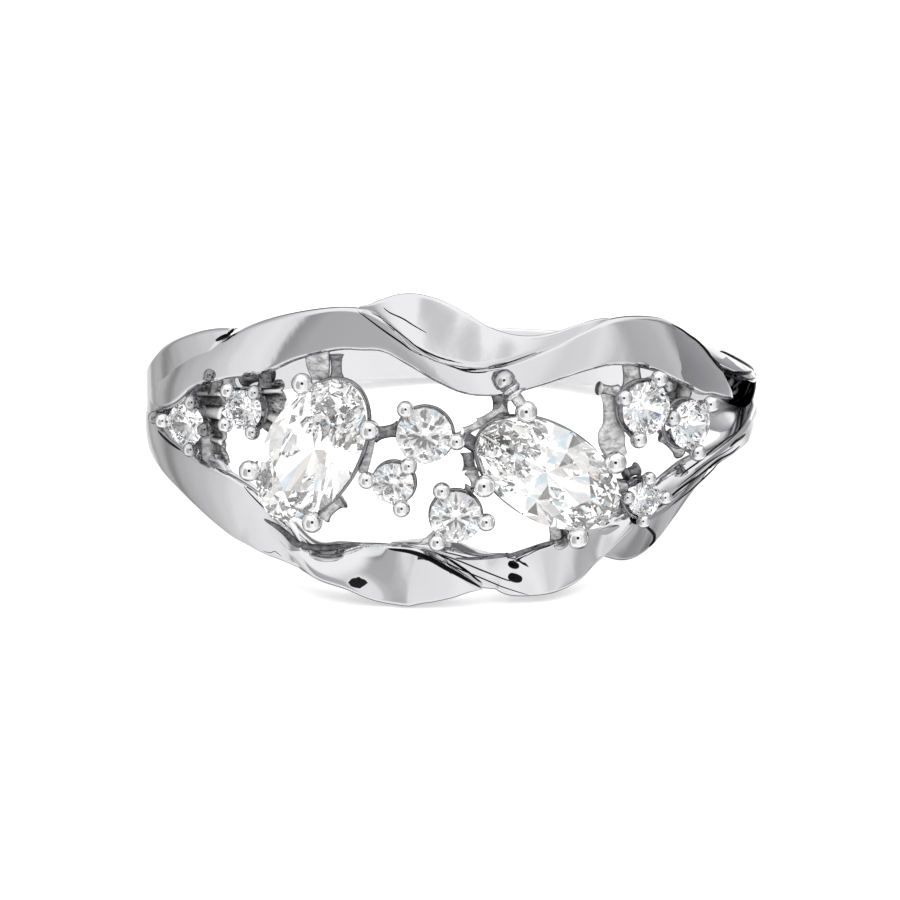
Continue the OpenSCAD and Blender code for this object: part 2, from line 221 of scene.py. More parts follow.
UPPER_FOLD = [
    (-18, 4.50, 9.50, 0.05, 0.22, -6),
    (-16, 4.51, 9.54, 0.12, 0.26, -12),
    (-14, 4.52, 9.56, 0.28, 0.30, -18),
    (-11, 4.44, 9.56, 0.58, 0.34, -24),
    (-8, 4.28, 9.54, 0.80, 0.36, -28),
    (-5, 4.02, 9.51, 0.95, 0.38, -30),
    (-1.5, 3.73, 9.49, 0.97, 0.38, -30),
    (1.5, 3.53, 9.50, 0.90, 0.38, -29),
    (5, 3.34, 9.52, 0.76, 0.37, -28),
    (8.5, 3.28, 9.55, 0.58, 0.35, -26),
    (12, 3.28, 9.57, 0.41, 0.32, -22),
    (16, 3.36, 9.60, 0.28, 0.29, -16),
    (20, 3.50, 9.60, 0.23, 0.28, -10),
    (24, 3.70, 9.60, 0.20, 0.26, -6),
    (28, 3.90, 9.58, 0.12, 0.24, 0),
    (31, 3.98, 9.56, 0.05, 0.20, 0),
]
RIGHT_RECESS = [
    (52, 2.10, 9.20, 0.30, 0.40, 0),
    (60, 1.85, 9.28, 0.50, 0.55, 10),
    (68, 1.28, 9.42, 0.62, 0.70, 20),
    (76, 0.80, 9.52, 0.66, 0.75, 20),
    (88, 0.36, 9.62, 0.62, 0.75, 10),
    (100, 0.34, 9.44, 0.70, 0.60, 4),
    (112, 0.00, 8.90, 0.60, 0.50, 0),
]

# %% [markdown]
# ## The lower ribbon
#
# The lower ribbon turns over twice, so it is made of strips that dive under each other: a
# strap from the left shoulder, the ribbon at the front with its half turn, a strap that rolls
# right over on its way to the right shoulder, and a fold that bulges out beneath it.

# %% Tables of the lower ribbon
LEFT_STRAP = [
    (-112, -0.10, 8.90, 0.60, 0.50, 0),
    (-102, -0.40, 9.46, 0.72, 0.60, 0),
    (-90, -0.68, 9.78, 0.72, 0.75, 0),
    (-76, -1.20, 9.70, 0.68, 0.75, 0),
    (-66, -1.52, 9.64, 0.72, 0.75, 0),
    (-58, -1.84, 9.60, 0.80, 0.75, 0),
    (-50, -2.20, 9.58, 0.92, 0.75, 0),
    (-45, -2.46, 9.58, 0.95, 0.72, 0),
    (-42, -2.64, 9.58, 0.90, 0.70, 0),
    (-39, -2.88, 9.60, 0.80, 0.68, 0),
    (-35, -3.18, 9.62, 0.66, 0.64, 0),
    (-32, -3.46, 9.66, 0.47, 0.58, 0),
    (-30, -3.66, 9.68, 0.35, 0.52, 0),
    (-28, -3.81, 9.72, 0.25, 0.46, 0),
    (-26, -3.96, 9.76, 0.14, 0.40, 0),
    (-24, -4.09, 9.70, 0.05, 0.30, 0),
    (-22, -4.14, 9.40, 0.03, 0.20, 0),
]
FRONT_RIBBON = [
    (-49, -2.30, 9.20, 0.60, 0.50, 0),
    (-43, -2.84, 9.30, 0.72, 0.60, 15),
    (-37, -3.28, 9.26, 0.70, 0.58, 42),
    (-31, -3.57, 9.26, 0.62, 0.54, 85),
    (-25, -3.72, 9.42, 0.76, 0.56, 130),
    (-19, -3.83, 9.50, 0.82, 0.68, 151),
    (-13, -3.98, 9.56, 0.97, 0.74, 180),
    (-8, -4.04, 9.58, 1.00, 0.75, 182),
    (-5.5, -4.10, 9.58, 0.88, 0.72, 184),
    (-3, -4.19, 9.58, 0.72, 0.68, 186),
    (-0.5, -4.27, 9.58, 0.52, 0.62, 188),
    (2, -4.32, 9.58, 0.32, 0.52, 190),
    (4, -4.38, 9.58, 0.14, 0.42, 190),
    (5.5, -4.42, 9.58, 0.03, 0.30, 190),
]
RIGHT_STRAP = [
    (-12, -3.10, 9.40, 0.10, 0.40, 360),
    (-7, -3.14, 9.44, 0.18, 0.44, 370),
    (-3, -3.28, 9.46, 0.26, 0.50, 380),
    (0, -3.46, 9.46, 0.36, 0.54, 385),
    (3, -3.70, 9.46, 0.48, 0.56, 382),
    (6, -3.88, 9.46, 0.58, 0.58, 375),
    (9, -3.92, 9.46, 0.60, 0.60, 362),
    (12, -4.06, 9.50, 0.68, 0.62, 362),
    (17, -3.90, 9.58, 0.82, 0.72, 354),
    (22, -3.70, 9.50, 0.80, 0.72, 358),
    (27, -3.27, 9.34, 0.70, 0.66, 360),
    (32, -2.90, 9.26, 0.54, 0.50, 330),
    (38, -2.42, 9.30, 0.42, 0.48, 290),
    (44, -1.96, 9.38, 0.40, 0.48, 270),
    (51, -1.50, 9.50, 0.40, 0.42, 245),
    (57, -1.24, 9.62, 0.36, 0.36, 222),
    (62, -1.06, 9.70, 0.34, 0.34, 205),
    (67, -0.90, 9.76, 0.34, 0.34, 195),
    (72, -0.76, 9.78, 0.37, 0.42, 188),
    (80, -0.60, 9.72, 0.48, 0.70, 182),
    (88, -0.48, 9.72, 0.56, 0.75, 180),
    (100, -0.38, 9.48, 0.66, 0.60, 180),
    (112, 0.00, 8.90, 0.60, 0.50, 180),
]
LOWER_FOLD = [
    (25, -3.15, 9.30, 0.20, 0.24, 0),
    (30, -3.20, 9.38, 0.44, 0.32, -6),
    (35, -3.25, 9.46, 0.64, 0.38, 4),
    (39, -3.13, 9.50, 0.66, 0.38, 14),
    (43, -2.83, 9.53, 0.60, 0.36, 22),
    (47, -2.43, 9.55, 0.50, 0.34, 28),
    (52, -1.94, 9.56, 0.34, 0.30, 30),
    (58, -1.42, 9.54, 0.12, 0.26, 28),
]

# %% [markdown]
# ## Leaves at the shoulders
#
# At each shoulder the upper ribbon's end is folded over the band and runs out in a thin tip, as
# a leaf does. Each leaf is one more strip, thin and lying highest of all.

# %% Tables of the leaves
LEFT_LEAF = [
    (-104, 0.00, 9.20, 0.60, 0.40, 0),
    (-96, 0.05, 9.62, 0.70, 0.50, 0),
    (-88, 0.24, 9.82, 0.76, 0.50, 0),
    (-80, 0.62, 9.80, 0.84, 0.46, 4),
    (-73, 1.12, 9.76, 0.84, 0.42, 8),
    (-67, 1.66, 9.74, 0.78, 0.40, 12),
    (-62, 2.08, 9.74, 0.70, 0.38, 14),
    (-58, 2.44, 9.74, 0.58, 0.36, 14),
    (-54, 2.80, 9.75, 0.43, 0.34, 12),
    (-50, 3.14, 9.76, 0.24, 0.30, 8),
    (-46.5, 3.38, 9.76, 0.06, 0.22, 4),
]
RIGHT_LEAF = [
    (53, 2.68, 9.30, 0.08, 0.22, -20),
    (60, 2.29, 9.42, 0.28, 0.30, -32),
    (66, 1.94, 9.54, 0.38, 0.34, -36),
    (75, 1.42, 9.66, 0.42, 0.36, -34),
    (82, 1.07, 9.72, 0.37, 0.36, -28),
    (90, 0.82, 9.68, 0.26, 0.34, -16),
    (98, 0.60, 9.40, 0.16, 0.30, 0),
]

# %% [markdown]
# ## From a table to a strip
#
# The section is an oblong with a slight bulge, so its long faces catch broad, calm reflections
# and its rounded edges catch a thin bright line. Nothing may reach into the finger's hole, so
# points that would are moved straight out to it.

# %% The strip's surface
ROWS_BETWEEN = 14
FACE_POINTS = 26
BELLY = 0.66
EDGE = 0.16
EDGE_ROUND = 0.14
FINGER_R = 8.5
HAIR = 0.015


def smooth_rows(table, between=ROWS_BETWEEN):
    """Rows on a smooth curve through a table's rows: a cubic between each two rows, whose slope
    at a row is half the step from the row before it to the row after it."""
    table = np.asarray(table, float)
    step = np.linspace(0, len(table) - 1, (len(table) - 1) * between + 1)
    first = np.minimum(step.astype(int), len(table) - 2)
    part = (step - first)[:, None]
    a, b, c, d = (table[np.clip(first + k, 0, len(table) - 1)] for k in (-1, 0, 1, 2))
    return (b + 0.5 * part * (c - a) + part ** 2 * (a - 2.5 * b + 2 * c - 0.5 * d)
            + 0.5 * part ** 3 * (3 * b - a - 3 * c + d))


def on_ring(angle, height, radius):
    """Points at an angle in degrees round the finger, a height along it and a radius."""
    angle = np.radians(angle)
    return np.stack([radius * np.sin(angle), -radius * np.cos(angle), height + 0 * angle], -1)


def clear_of_finger(points):
    """Points nearer to the finger's axis than its radius, moved straight out to it and a hair
    more, so that the plain band's inside stays in front."""
    radius = np.linalg.norm(points[..., :2], axis=-1, keepdims=True)
    out = np.maximum(radius, FINGER_R + HAIR) / radius
    return np.concatenate([points[..., :2] * out, points[..., 2:]], -1)


def ribbon(table):
    """A closed section carried along a table's path. Across the width, from -1 to 1, each face
    stands off by an edge and a bulge that falls as the square of the width, and both drop to
    nothing over a short elliptical rounding at the edges. The face away from the finger has the
    smaller bulge."""
    rows = smooth_rows(table)
    centre = on_ring(rows[:, ANGLE], rows[:, HEIGHT], rows[:, RADIUS])
    along = unit(np.gradient(centre, axis=0))
    ray = on_ring(rows[:, ANGLE], 0, 1)
    out = unit(ray - (ray * along).sum(-1, keepdims=True) * along)
    side = np.cross(out, along)
    roll = np.radians(rows[:, ROLL])[:, None]
    wide = side * np.cos(roll) + out * np.sin(roll)
    deep = out * np.cos(roll) - side * np.sin(roll)
    sweep = np.linspace(-0.5, 0.5, FACE_POINTS + 1) * math.pi
    share = np.concatenate([np.sin(sweep), np.sin(sweep[1:-1])[::-1]])[None, :]
    face = np.concatenate([np.ones(FACE_POINTS + 1), -np.ones(FACE_POINTS - 1)])[None, :]
    half_w, half_t = rows[:, HALF_W, None], rows[:, HALF_T, None]
    edge = np.minimum(EDGE, half_t * (1 - BELLY))
    bulge = half_t * (1 - face * BELLY * np.cos(roll)) - edge
    flat = np.maximum(1 - EDGE_ROUND / half_w, 0.3)
    over = np.clip((np.abs(share) - flat) / (1 - flat), 0, 1)
    height = face * (edge + bulge * (1 - share ** 2)) * np.sqrt(1 - over ** 2)
    points = (centre[:, None] + wide[:, None] * (half_w * share)[..., None]
              + deep[:, None] * height[..., None])
    return tube(clear_of_finger(points))


RIBBONS = {
    "upper_ribbon": UPPER_RIBBON,
    "upper_edge": UPPER_EDGE,
    "upper_fold": UPPER_FOLD,
    "right_recess": RIGHT_RECESS,
    "front_ribbon": FRONT_RIBBON,
    "left_strap": LEFT_STRAP,
    "right_strap": RIGHT_STRAP,
    "lower_fold": LOWER_FOLD,
    "left_leaf": LEFT_LEAF,
    "right_leaf": RIGHT_LEAF,
}
polished = [make_piece(name, [ribbon(table)]) for name, table in RIBBONS.items()]
for piece in polished:
    print(piece.name, "corners:", len(piece.data.vertices))

# %% [markdown]
# ## The plain band
#
# Behind the shoulders the ring is a plain band, crowned outside and flat against the finger. It
# narrows toward the back. Its section is a flat line inside and a low arch outside, carried
# round the back from one shoulder to the other. A blunt end would show as a step, so the section
# shrinks at both shoulders until it is hidden in the ribbons.

# %% The band
BAND_FROM, BAND_FULL = 84, 107
BAND_ROWS = 161
BAND_THICK = 1.2
BAND_END = 0.40
BAND_ARCH = 0.62
SHOULDER_W = 2.5
BACK_W = 1.7
BAND_POINTS = 24


def band():
    """A low arch over a flat base, carried round the back. The arch is a power of the sine. The
    half width falls from the shoulder's to the back's, fast at first, as the distance behind the
    finger's axis grows. At both ends the section shrinks along a smooth step."""
    angle = np.linspace(BAND_FROM, 360 - BAND_FROM, BAND_ROWS)[:, None]
    back = -np.cos(np.radians(angle))
    half_w = BACK_W / 2 + (SHOULDER_W - BACK_W) / 2 * np.clip(1 - back, 0, 1) ** 2
    part = np.clip((np.minimum(angle, 360 - angle) - BAND_FROM) / (BAND_FULL - BAND_FROM), 0, 1)
    full = BAND_END + (1 - BAND_END) * part ** 2 * (3 - 2 * part)
    half_w = half_w * full
    sweep = np.linspace(0, math.pi, BAND_POINTS + 1)[None, :]
    across = -np.cos(sweep)
    arch = np.sin(sweep) ** BAND_ARCH
    base = np.linspace(1, -1, BAND_POINTS - 1)[None, 1:-1]
    height = np.concatenate([across + 0 * angle, base + 0 * angle], 1) * half_w
    stand = np.concatenate([arch + 0 * angle, 0 * base + 0 * angle], 1) * BAND_THICK * full
    points = on_ring(angle + 0 * height, height, FINGER_R + stand)
    return tube(points[:, ::-1])


polished.append(make_piece("band", [band()]))
for piece in polished:
    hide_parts("ring_body")
print("band corners:", len(polished[-1].data.vertices))

# %% [markdown]
# ## Seats of the stones
#
# Each stone has a seat: a place on the ring, a turn to face outward and a lean of its long side.
# The prongs and rails are shaped in the seat's own frame, with Z out of the stone's face and X
# along its length, and then moved to it. A row gives the place, the stone's length and width,
# its lean and turn, the radius of its beads and the direction of each prong.

# %% Table of the stones
SEAT_R = 10.0
LENGTH, WIDTH, LEAN, TURN, BEAD, PRONGS = range(2, 8)
STONES = {
    "oval_stone_left": (-26.7, -0.12, 5.2, 3.05, 59, -19, 0.34, (50, 128, -134, -50)),
    "oval_stone_right": (17.6, -0.75, 5.2, 3.05, -32, 13, 0.36, (53, 130, -128, -47)),
    "round_stone_far_left": (-59, 0.05, 1.4, 1.4, 0, -33, 0.25, (67, 177, -71, -5)),
    "round_stone_left": (-41.8, 0.93, 1.3, 1.3, 0, -26, 0.25, (52, 129, -139, -60)),
    "round_stone_centre_high": (-5.2, 0.55, 1.8, 1.8, 0, -4, 0.28, (124, -8)),
    "round_stone_centre_small": (-11, -1.02, 1.35, 1.35, 0, -8, 0.28, (171, -68, 49)),
    "round_stone_centre_low": (0.5, -2.05, 1.65, 1.65, 0, 0, 0.29, (117, -8, -127)),
    "round_stone_right_high": (37.8, 1.05, 1.75, 1.75, 0, 30, 0.28, (154, 68, -111)),
    "round_stone_right_outer": (49.2, 0.29, 1.6, 1.6, 0, 38, 0.28, (39, -78, 160)),
    "round_stone_right_low": (37.5, -1.87, 1.15, 1.15, 0, 27, 0.23, (82, 169, 1, -99)),
}


def seated(points, stone):
    """Points in a stone's seat to the upright frame: lean, stand up, turn, move out."""
    turn = turned("Z", stone[TURN]) @ turned("X", 90) @ turned("Z", stone[LEAN])
    return points @ turn.T + on_ring(stone[ANGLE], stone[HEIGHT], SEAT_R)


# %% [markdown]
# ## Prongs and rails
#
# A basket is two wire hoops under the stone joined by prongs. Each prong rises from the lower
# hoop, passes the stone's edge and ends in a bead that holds it down. The bead and its prong are
# one surface of revolution. Beads are trimmed where the stone's crown passes under them, so the
# stones stay whole and clear of the metal.

# %% Turning a profile
AROUND = 24
ASKEW = np.array([0.3, 1, 0.2])


def spun(profile, start, end):
    """A profile of (share along, radius) rows turned about the line from start to end. A vector
    that no line here runs along gives the first direction square to it."""
    profile = np.asarray(profile, float)
    along = unit(end - start)
    side = unit(np.cross(along, ASKEW))
    up = np.cross(along, side)
    turn = np.linspace(0, 2 * math.pi, AROUND, endpoint=False)
    ring = side * np.cos(turn)[:, None] + up * np.sin(turn)[:, None]
    centre = start + (end - start) * profile[:, :1]
    return centre[:, None] + ring[None] * profile[:, 1, None, None]


# %% Room for the stone
GIRDLE, CROWN, TABLE, PAVILION = 0.02, 0.32, 0.56, 0.84
STONE_GAP = 0.02
NEAR_MIDDLE = 0.05


def clear_of_stone(points, stone):
    """Points inside the room of a stone, moved to its surface: up onto the crown's cone where
    they lie above the girdle, and outward from the pavilion's cone below it."""
    half_w = stone[WIDTH] / 2 + STONE_GAP
    reach = np.hypot(points[..., 0] / (stone[LENGTH] / 2 + STONE_GAP), points[..., 1] / half_w)
    height = points[..., 2] / half_w
    top = GIRDLE + (CROWN - GIRDLE) * np.clip(1 - reach, 0, 1 - TABLE) / (1 - TABLE)
    inside = (reach < 1) & (height < top) & (height > -GIRDLE - PAVILION * (1 - reach))
    lifted = inside & (height > 0)
    pushed = inside & ~lifted
    wall = 1 + np.minimum(height + GIRDLE, 0) / PAVILION
    out = np.where(pushed, wall / np.maximum(reach, NEAR_MIDDLE), 1)
    rise = np.where(lifted, top * half_w, points[..., 2])
    return np.stack([points[..., 0] * out, points[..., 1] * out, rise], -1)


# %% Prongs
BASKET_DEPTH = 1.15
PRONG_FOOT = 0.62
PRONG_SHARE = 0.66
FOOT_FLARE = 0.25
BEAD_SEAT = 0.5
POLE = 1e-4


def prong(stone, direction):
    """A leaning post with a flared foot that swells into a round bead: a stem whose radius grows
    by the fourth power toward the foot, and then the bead's circle from the stem to its top."""
    angle = math.radians(direction)
    half = np.array([stone[LENGTH], stone[WIDTH]]) / 2
    rim = half * [math.cos(angle), math.sin(angle)]
    out = unit(np.array([math.cos(angle), math.sin(angle)]) / half)
    bead = stone[BEAD]
    foot = np.append(PRONG_FOOT * rim, -BASKET_DEPTH)
    tip = np.append(rim + BEAD_SEAT * bead * out, BEAD_SEAT * bead)
    length = np.linalg.norm(tip - foot)
    stem = PRONG_SHARE * bead
    open_to = math.asin(PRONG_SHARE)
    ball = np.linspace(open_to, math.pi, 15)
    rise = np.linspace(0, 1, 8)[:, None]
    stem_top = 1 - bead * math.cos(open_to) / length
    lower = np.hstack([rise * stem_top, stem * (1 + FOOT_FLARE * (1 - rise) ** 4)])
    round_bead = np.stack([1 - bead * np.cos(ball) / length,
                           np.maximum(bead * np.sin(ball), POLE)], 1)
    grid = spun(np.vstack([lower, round_bead[1:]]), foot, tip)
    return tube(seated(clear_of_stone(grid, stone), stone))


# %% Rails and baskets
RAIL_R = 0.075
RAIL_ROWS, RAIL_POINTS = 72, 12
UPPER_RAIL, LOWER_RAIL = 0.97, 0.66
UPPER_RAIL_DEPTH = 0.42


def rail(stone, share, height):
    """A wire hoop that follows the stone's outline at a share of its size: a circle carried
    round an ellipse."""
    turn = np.linspace(0, 2 * math.pi, RAIL_ROWS, endpoint=False)[:, None]
    half = share * np.array([stone[LENGTH], stone[WIDTH]]) / 2
    line = np.concatenate([half[0] * np.cos(turn), half[1] * np.sin(turn),
                           0 * turn + height], 1)
    out = unit(np.concatenate([np.cos(turn) / half[0], np.sin(turn) / half[1], 0 * turn], 1))
    round_it = np.linspace(0, 2 * math.pi, RAIL_POINTS, endpoint=False)[None, :, None]
    grid = line[:, None] + RAIL_R * (out[:, None] * np.cos(round_it)
                                     + np.array([0, 0, 1]) * np.sin(round_it))
    return tube(seated(grid, stone)[:, ::-1], joined_ends=True)


def basket(name, stone):
    """Two rails and the prongs of one stone."""
    shells = [prong(stone, direction) for direction in stone[PRONGS]]
    shells.append(rail(stone, UPPER_RAIL, -UPPER_RAIL_DEPTH))
    shells.append(rail(stone, LOWER_RAIL, RAIL_R - BASKET_DEPTH))
    piece = make_piece(name.replace("stone", "basket"), shells)
    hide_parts("ring_body")
    return piece


baskets = [basket(name, stone) for name, stone in STONES.items()]
print("baskets:", len(baskets), "prongs:", sum(len(s[PRONGS]) for s in STONES.values()))

# %% [markdown]
# ## Posts
#
# Short posts of the same casting tie the baskets to the ribbons and to each other. Each row is
# where a post starts and ends, as an angle, a height and a radius, and then how thick it is. The
# second table holds the posts that lie deep, whose casting is painted darker as shade.

# %% Posts
POST_ROWS, POST_FLARE = 13, 0.5
POSTS = [
    ((-34, -1.6, 9.2), (-36, -2.9, 9.2), 0.25),
    ((-1, 0.4, 9.4), (1.6, 0.4, 9.4), 0.16),
    ((-2.5, -2.6, 9.4), (-6.8, -3.2, 9.4), 0.13),
    ((-1.5, -2.8, 9.4), (-0.8, -3.5, 9.4), 0.18),
    ((10.0, 1.35, 9.4), (5.2, 0.82, 9.4), 0.15),
    ((5.4, 0.84, 9.4), (2.2, 0.58, 9.4), 0.12),
    ((20.0, -2.1, 9.3), (20.6, -3.2, 9.35), 0.19),
    ((-26.6, -2.24, 9.3), (-23.0, -1.74, 9.2), 0.25),
    ((3.6, -0.7, 9.4), (4.6, -1.1, 9.7), 0.17),
    ((3.4, -1.2, 9.4), (2.0, -1.6, 9.4), 0.15),
    ((29.4, 1.76, 9.4), (33.5, 1.6, 9.4), 0.15),
    ((30, -1.1, 9.4), (35, -1.6, 9.4), 0.2),
    ((38, 1.6, 9.3), (37, 2.8, 9.3), 0.28),
    ((51, 0.7, 9.3), (54, 1.6, 9.3), 0.24),
    ((47.0, -0.15, 9.2), (52.0, -0.78, 9.2), 0.15),
    ((38.5, -2.1, 9.3), (43, -2.3, 9.3), 0.22),
    ((36.5, -2.2, 9.3), (36.5, -3, 9.3), 0.2),
    ((-50.3, 1.90, 9.3), (-50.3, 1.40, 9.3), 0.20),
    ((-61, 0.3, 9.3), (-64, 1.2, 9.3), 0.22),
    ((-58, -0.3, 9.3), (-57, -1.5, 9.3), 0.25),
]
RECESSES = [
    ((-55.2, 1.62, 9.2), (-55.6, 1.05, 9.2), 0.19),
    ((-46.0, 1.80, 9.2), (-39.6, 2.05, 9.2), 0.22),
    ((-40.6, 2.10, 9.2), (-40.4, 1.60, 9.2), 0.22),
    ((-23.4, 2.90, 9.3), (-23.3, 2.15, 9.3), 0.17),
    ((9.2, 1.75, 9.3), (9.2, 1.05, 9.3), 0.24),
    ((-15.2, 0.46, 9.4), (-10.6, 0.62, 9.4), 0.20),
    ((1.8, 0.38, 9.3), (5.2, 0.05, 9.3), 0.24),
    ((2.9, -0.10, 9.3), (3.2, -0.65, 9.4), 0.18),
    ((22.7, -2.55, 9.3), (22.9, -2.95, 9.35), 0.18),
    ((49.0, 1.50, 9.0), (54.0, 1.10, 9.0), 0.30),
    ((49.6, 1.00, 9.0), (51.0, 1.60, 9.0), 0.26),
    ((36.6, -1.15, 9.2), (39.5, -1.05, 9.2), 0.16),
    ((35.0, -1.30, 9.2), (34.6, -2.60, 9.2), 0.18),
]


def post(start, end, radius):
    """A round post whose radius grows by the third power toward both ends, as cast metal fills
    a corner."""
    share = np.linspace(0, 1, POST_ROWS)
    flare = 1 + POST_FLARE * np.abs(2 * share - 1) ** 3
    profile = np.stack([share, radius * flare], 1)
    return tube(clear_of_finger(spun(profile, on_ring(*start), on_ring(*end))))


posts = make_piece("posts", [post(*row) for row in POSTS])
recesses = make_piece("recesses", [post(*row) for row in RECESSES])
for piece in (posts, recesses):
    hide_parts("ring_body")
print("posts:", len(POSTS), "recesses:", len(RECESSES))

# %% [markdown]
# ## Straps and walls
#
# Some ties are flat and change their width, so they are strips like the ribbons: the strap
# beside the right stones, the one above the left oval, a narrow one in the middle, the hollow
# pocket in the right shoulder and a web at the left. The strip is carried along its table, here
# mostly up the ring instead of round it. Behind the left stones two thin walls of the casting
# stand in steps. Their radius goes up and down along the table, and that gives the ledges.

# %% Straps
STRAPS = {
    "strap_right": [
        (32.2, 1.66, 9.30, 0.34, 0.20, 0),
        (33.0, 1.30, 9.30, 0.36, 0.22, 0),
        (33.2, 0.85, 9.30, 0.36, 0.22, 0),
        (33.2, 0.45, 9.30, 0.42, 0.22, 0),
        (32.8, 0.12, 9.30, 0.52, 0.24, 0),
        (33.4, -0.25, 9.30, 0.44, 0.24, 0),
        (34.8, -0.60, 9.30, 0.32, 0.22, 0),
    ],
    "strap_left_top": [
        (-27.2, 3.20, 9.40, 0.40, 0.26, 0),
        (-27.0, 2.85, 9.46, 0.42, 0.30, 0),
        (-26.8, 2.50, 9.46, 0.40, 0.30, 0),
        (-26.6, 2.10, 9.38, 0.30, 0.26, 0),
    ],
    "shoulder_pocket": [
        (56.0, 0.30, 9.10, 0.05, 0.12, -40),
        (61.0, 0.20, 9.16, 0.55, 0.18, -40),
        (67.0, 0.05, 9.22, 0.60, 0.22, -38),
        (74.0, -0.05, 9.26, 0.42, 0.24, -34),
        (82.0, -0.20, 9.26, 0.16, 0.22, -30),
    ],
    "left_web": [
        (-54.8, -0.90, 9.34, 0.20, 0.24, 0),
        (-54.6, -1.08, 9.38, 0.34, 0.26, 0),
        (-54.0, -1.30, 9.38, 0.48, 0.26, 0),
        (-53.2, -1.56, 9.38, 0.60, 0.26, 0),
    ],
    "strap_middle": [
        (-16.0, 0.42, 9.36, 0.16, 0.18, 0),
        (-16.5, 0.02, 9.36, 0.17, 0.18, 0),
        (-17.2, -0.43, 9.36, 0.17, 0.18, 0),
        (-17.8, -0.85, 9.36, 0.15, 0.18, 0),
    ],
}

# %% Walls
WALLS = {
    "wall_left": [
        (-57.4, 1.50, 9.20, 0.53, 0.16, 0),
        (-57.4, 1.20, 9.20, 0.73, 0.16, 0),
        (-57.3, 1.02, 9.32, 0.79, 0.16, 0),
        (-57.2, 0.88, 9.20, 0.83, 0.16, 0),
        (-57.2, 0.66, 9.18, 0.87, 0.16, 0),
        (-57.1, 0.50, 9.38, 0.87, 0.16, 0),
        (-57.1, 0.30, 9.38, 0.87, 0.16, 0),
        (-57.0, 0.16, 9.20, 0.85, 0.16, 0),
        (-57.0, -0.06, 9.22, 0.81, 0.16, 0),
        (-57.0, -0.30, 9.18, 0.79, 0.16, 0),
        (-57.0, -0.43, 9.34, 0.79, 0.16, 0),
        (-57.0, -0.58, 9.20, 0.79, 0.16, 0),
        (-56.8, -0.82, 9.24, 0.80, 0.16, 0),
        (-56.6, -1.04, 9.16, 0.82, 0.16, 0),
        (-56.4, -1.24, 9.16, 0.84, 0.16, 0),
    ],
    "wall_middle": [
        (-39.6, 1.72, 9.12, 0.50, 0.16, 0),
        (-39.4, 1.60, 9.12, 0.58, 0.16, 0),
        (-39.3, 1.50, 9.40, 0.62, 0.16, 0),
        (-39.2, 1.38, 9.22, 0.64, 0.16, 0),
        (-39.2, 1.26, 9.16, 0.64, 0.16, 0),
        (-39.2, 1.12, 9.26, 0.64, 0.16, 0),
        (-39.3, 0.84, 9.26, 0.62, 0.16, 0),
        (-39.5, 0.70, 9.38, 0.56, 0.16, 0),
        (-39.8, 0.58, 9.22, 0.50, 0.16, 0),
        (-40.4, 0.40, 9.14, 0.42, 0.16, 0),
        (-41.0, 0.20, 9.10, 0.34, 0.16, 0),
    ],
}
straps = [make_piece(name, [ribbon(table)]) for name, table in STRAPS.items()]
walls = [make_piece(name, [ribbon(table)]) for name, table in WALLS.items()]
for piece in straps + walls:
    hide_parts("ring_body")
print("straps:", len(straps), "walls:", len(walls))

# %% [markdown]
# ## Knob, collars and studs
#
# The right oval's upper prong is held to the ribbon by a short turned column: a domed knob, two
# thin collars and the prong's bead. It is one profile turned about a line, with a row for each
# share of the way and the radius there. Three more beads on short stems close the rows of stones
# at the shoulders. A row gives where a stem starts, where it ends and how big its bead is.

# %% The turned column
COLUMN = [
    (-0.34, 0.02), (-0.31, 0.18), (-0.21, 0.31), (-0.05, 0.37), (0.10, 0.36), (0.17, 0.28),
    (0.20, 0.19), (0.26, 0.19), (0.28, 0.30), (0.34, 0.34), (0.40, 0.30), (0.42, 0.20),
    (0.46, 0.20), (0.48, 0.30), (0.54, 0.34), (0.60, 0.30), (0.62, 0.20), (0.80, 0.20),
    (1.00, 0.16),
]
COLUMN_FROM, COLUMN_TO = (9.4, 2.28, 9.86), (12.6, 1.46, 10.1)
column = make_piece("column", [tube(spun(COLUMN, on_ring(*COLUMN_FROM), on_ring(*COLUMN_TO)))])
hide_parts("ring_body")
print("column corners:", len(column.data.vertices))

# %% Studs
STUDS = [
    ((-61.9, 1.12, 9.40), (-52.4, 1.80, 9.80), 0.21),
    ((-84.0, -0.50, 9.25), (-77.4, -0.27, 9.92), 0.22),
    ((45.8, 1.34, 9.25), (43.1, 1.65, 9.95), 0.20),
]
STUD_SHARE, STUD_FLARE, STUD_NECK = 0.6, 1.3, 0.3
STUD_ROWS = 12


def stud(start, end, size):
    """A stem that swells into a round bead at its end, turned about a line: a wide foot, a neck
    and the bead's circle."""
    start, end = on_ring(*start), on_ring(*end)
    turn = np.linspace(math.asin(STUD_SHARE), math.pi, STUD_ROWS)
    share = 1 - size * np.cos(turn) / np.linalg.norm(end - start)
    bead = np.stack([share, np.maximum(size * np.sin(turn), POLE)], 1)
    stem = STUD_SHARE * size
    neck = [(0.0, stem * STUD_FLARE), (STUD_NECK * share[0], stem)]
    return tube(spun(np.vstack([neck, bead]), start, end))


studs = make_piece("studs", [stud(*row) for row in STUDS])
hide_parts("ring_body")
print("studs:", len(STUDS))
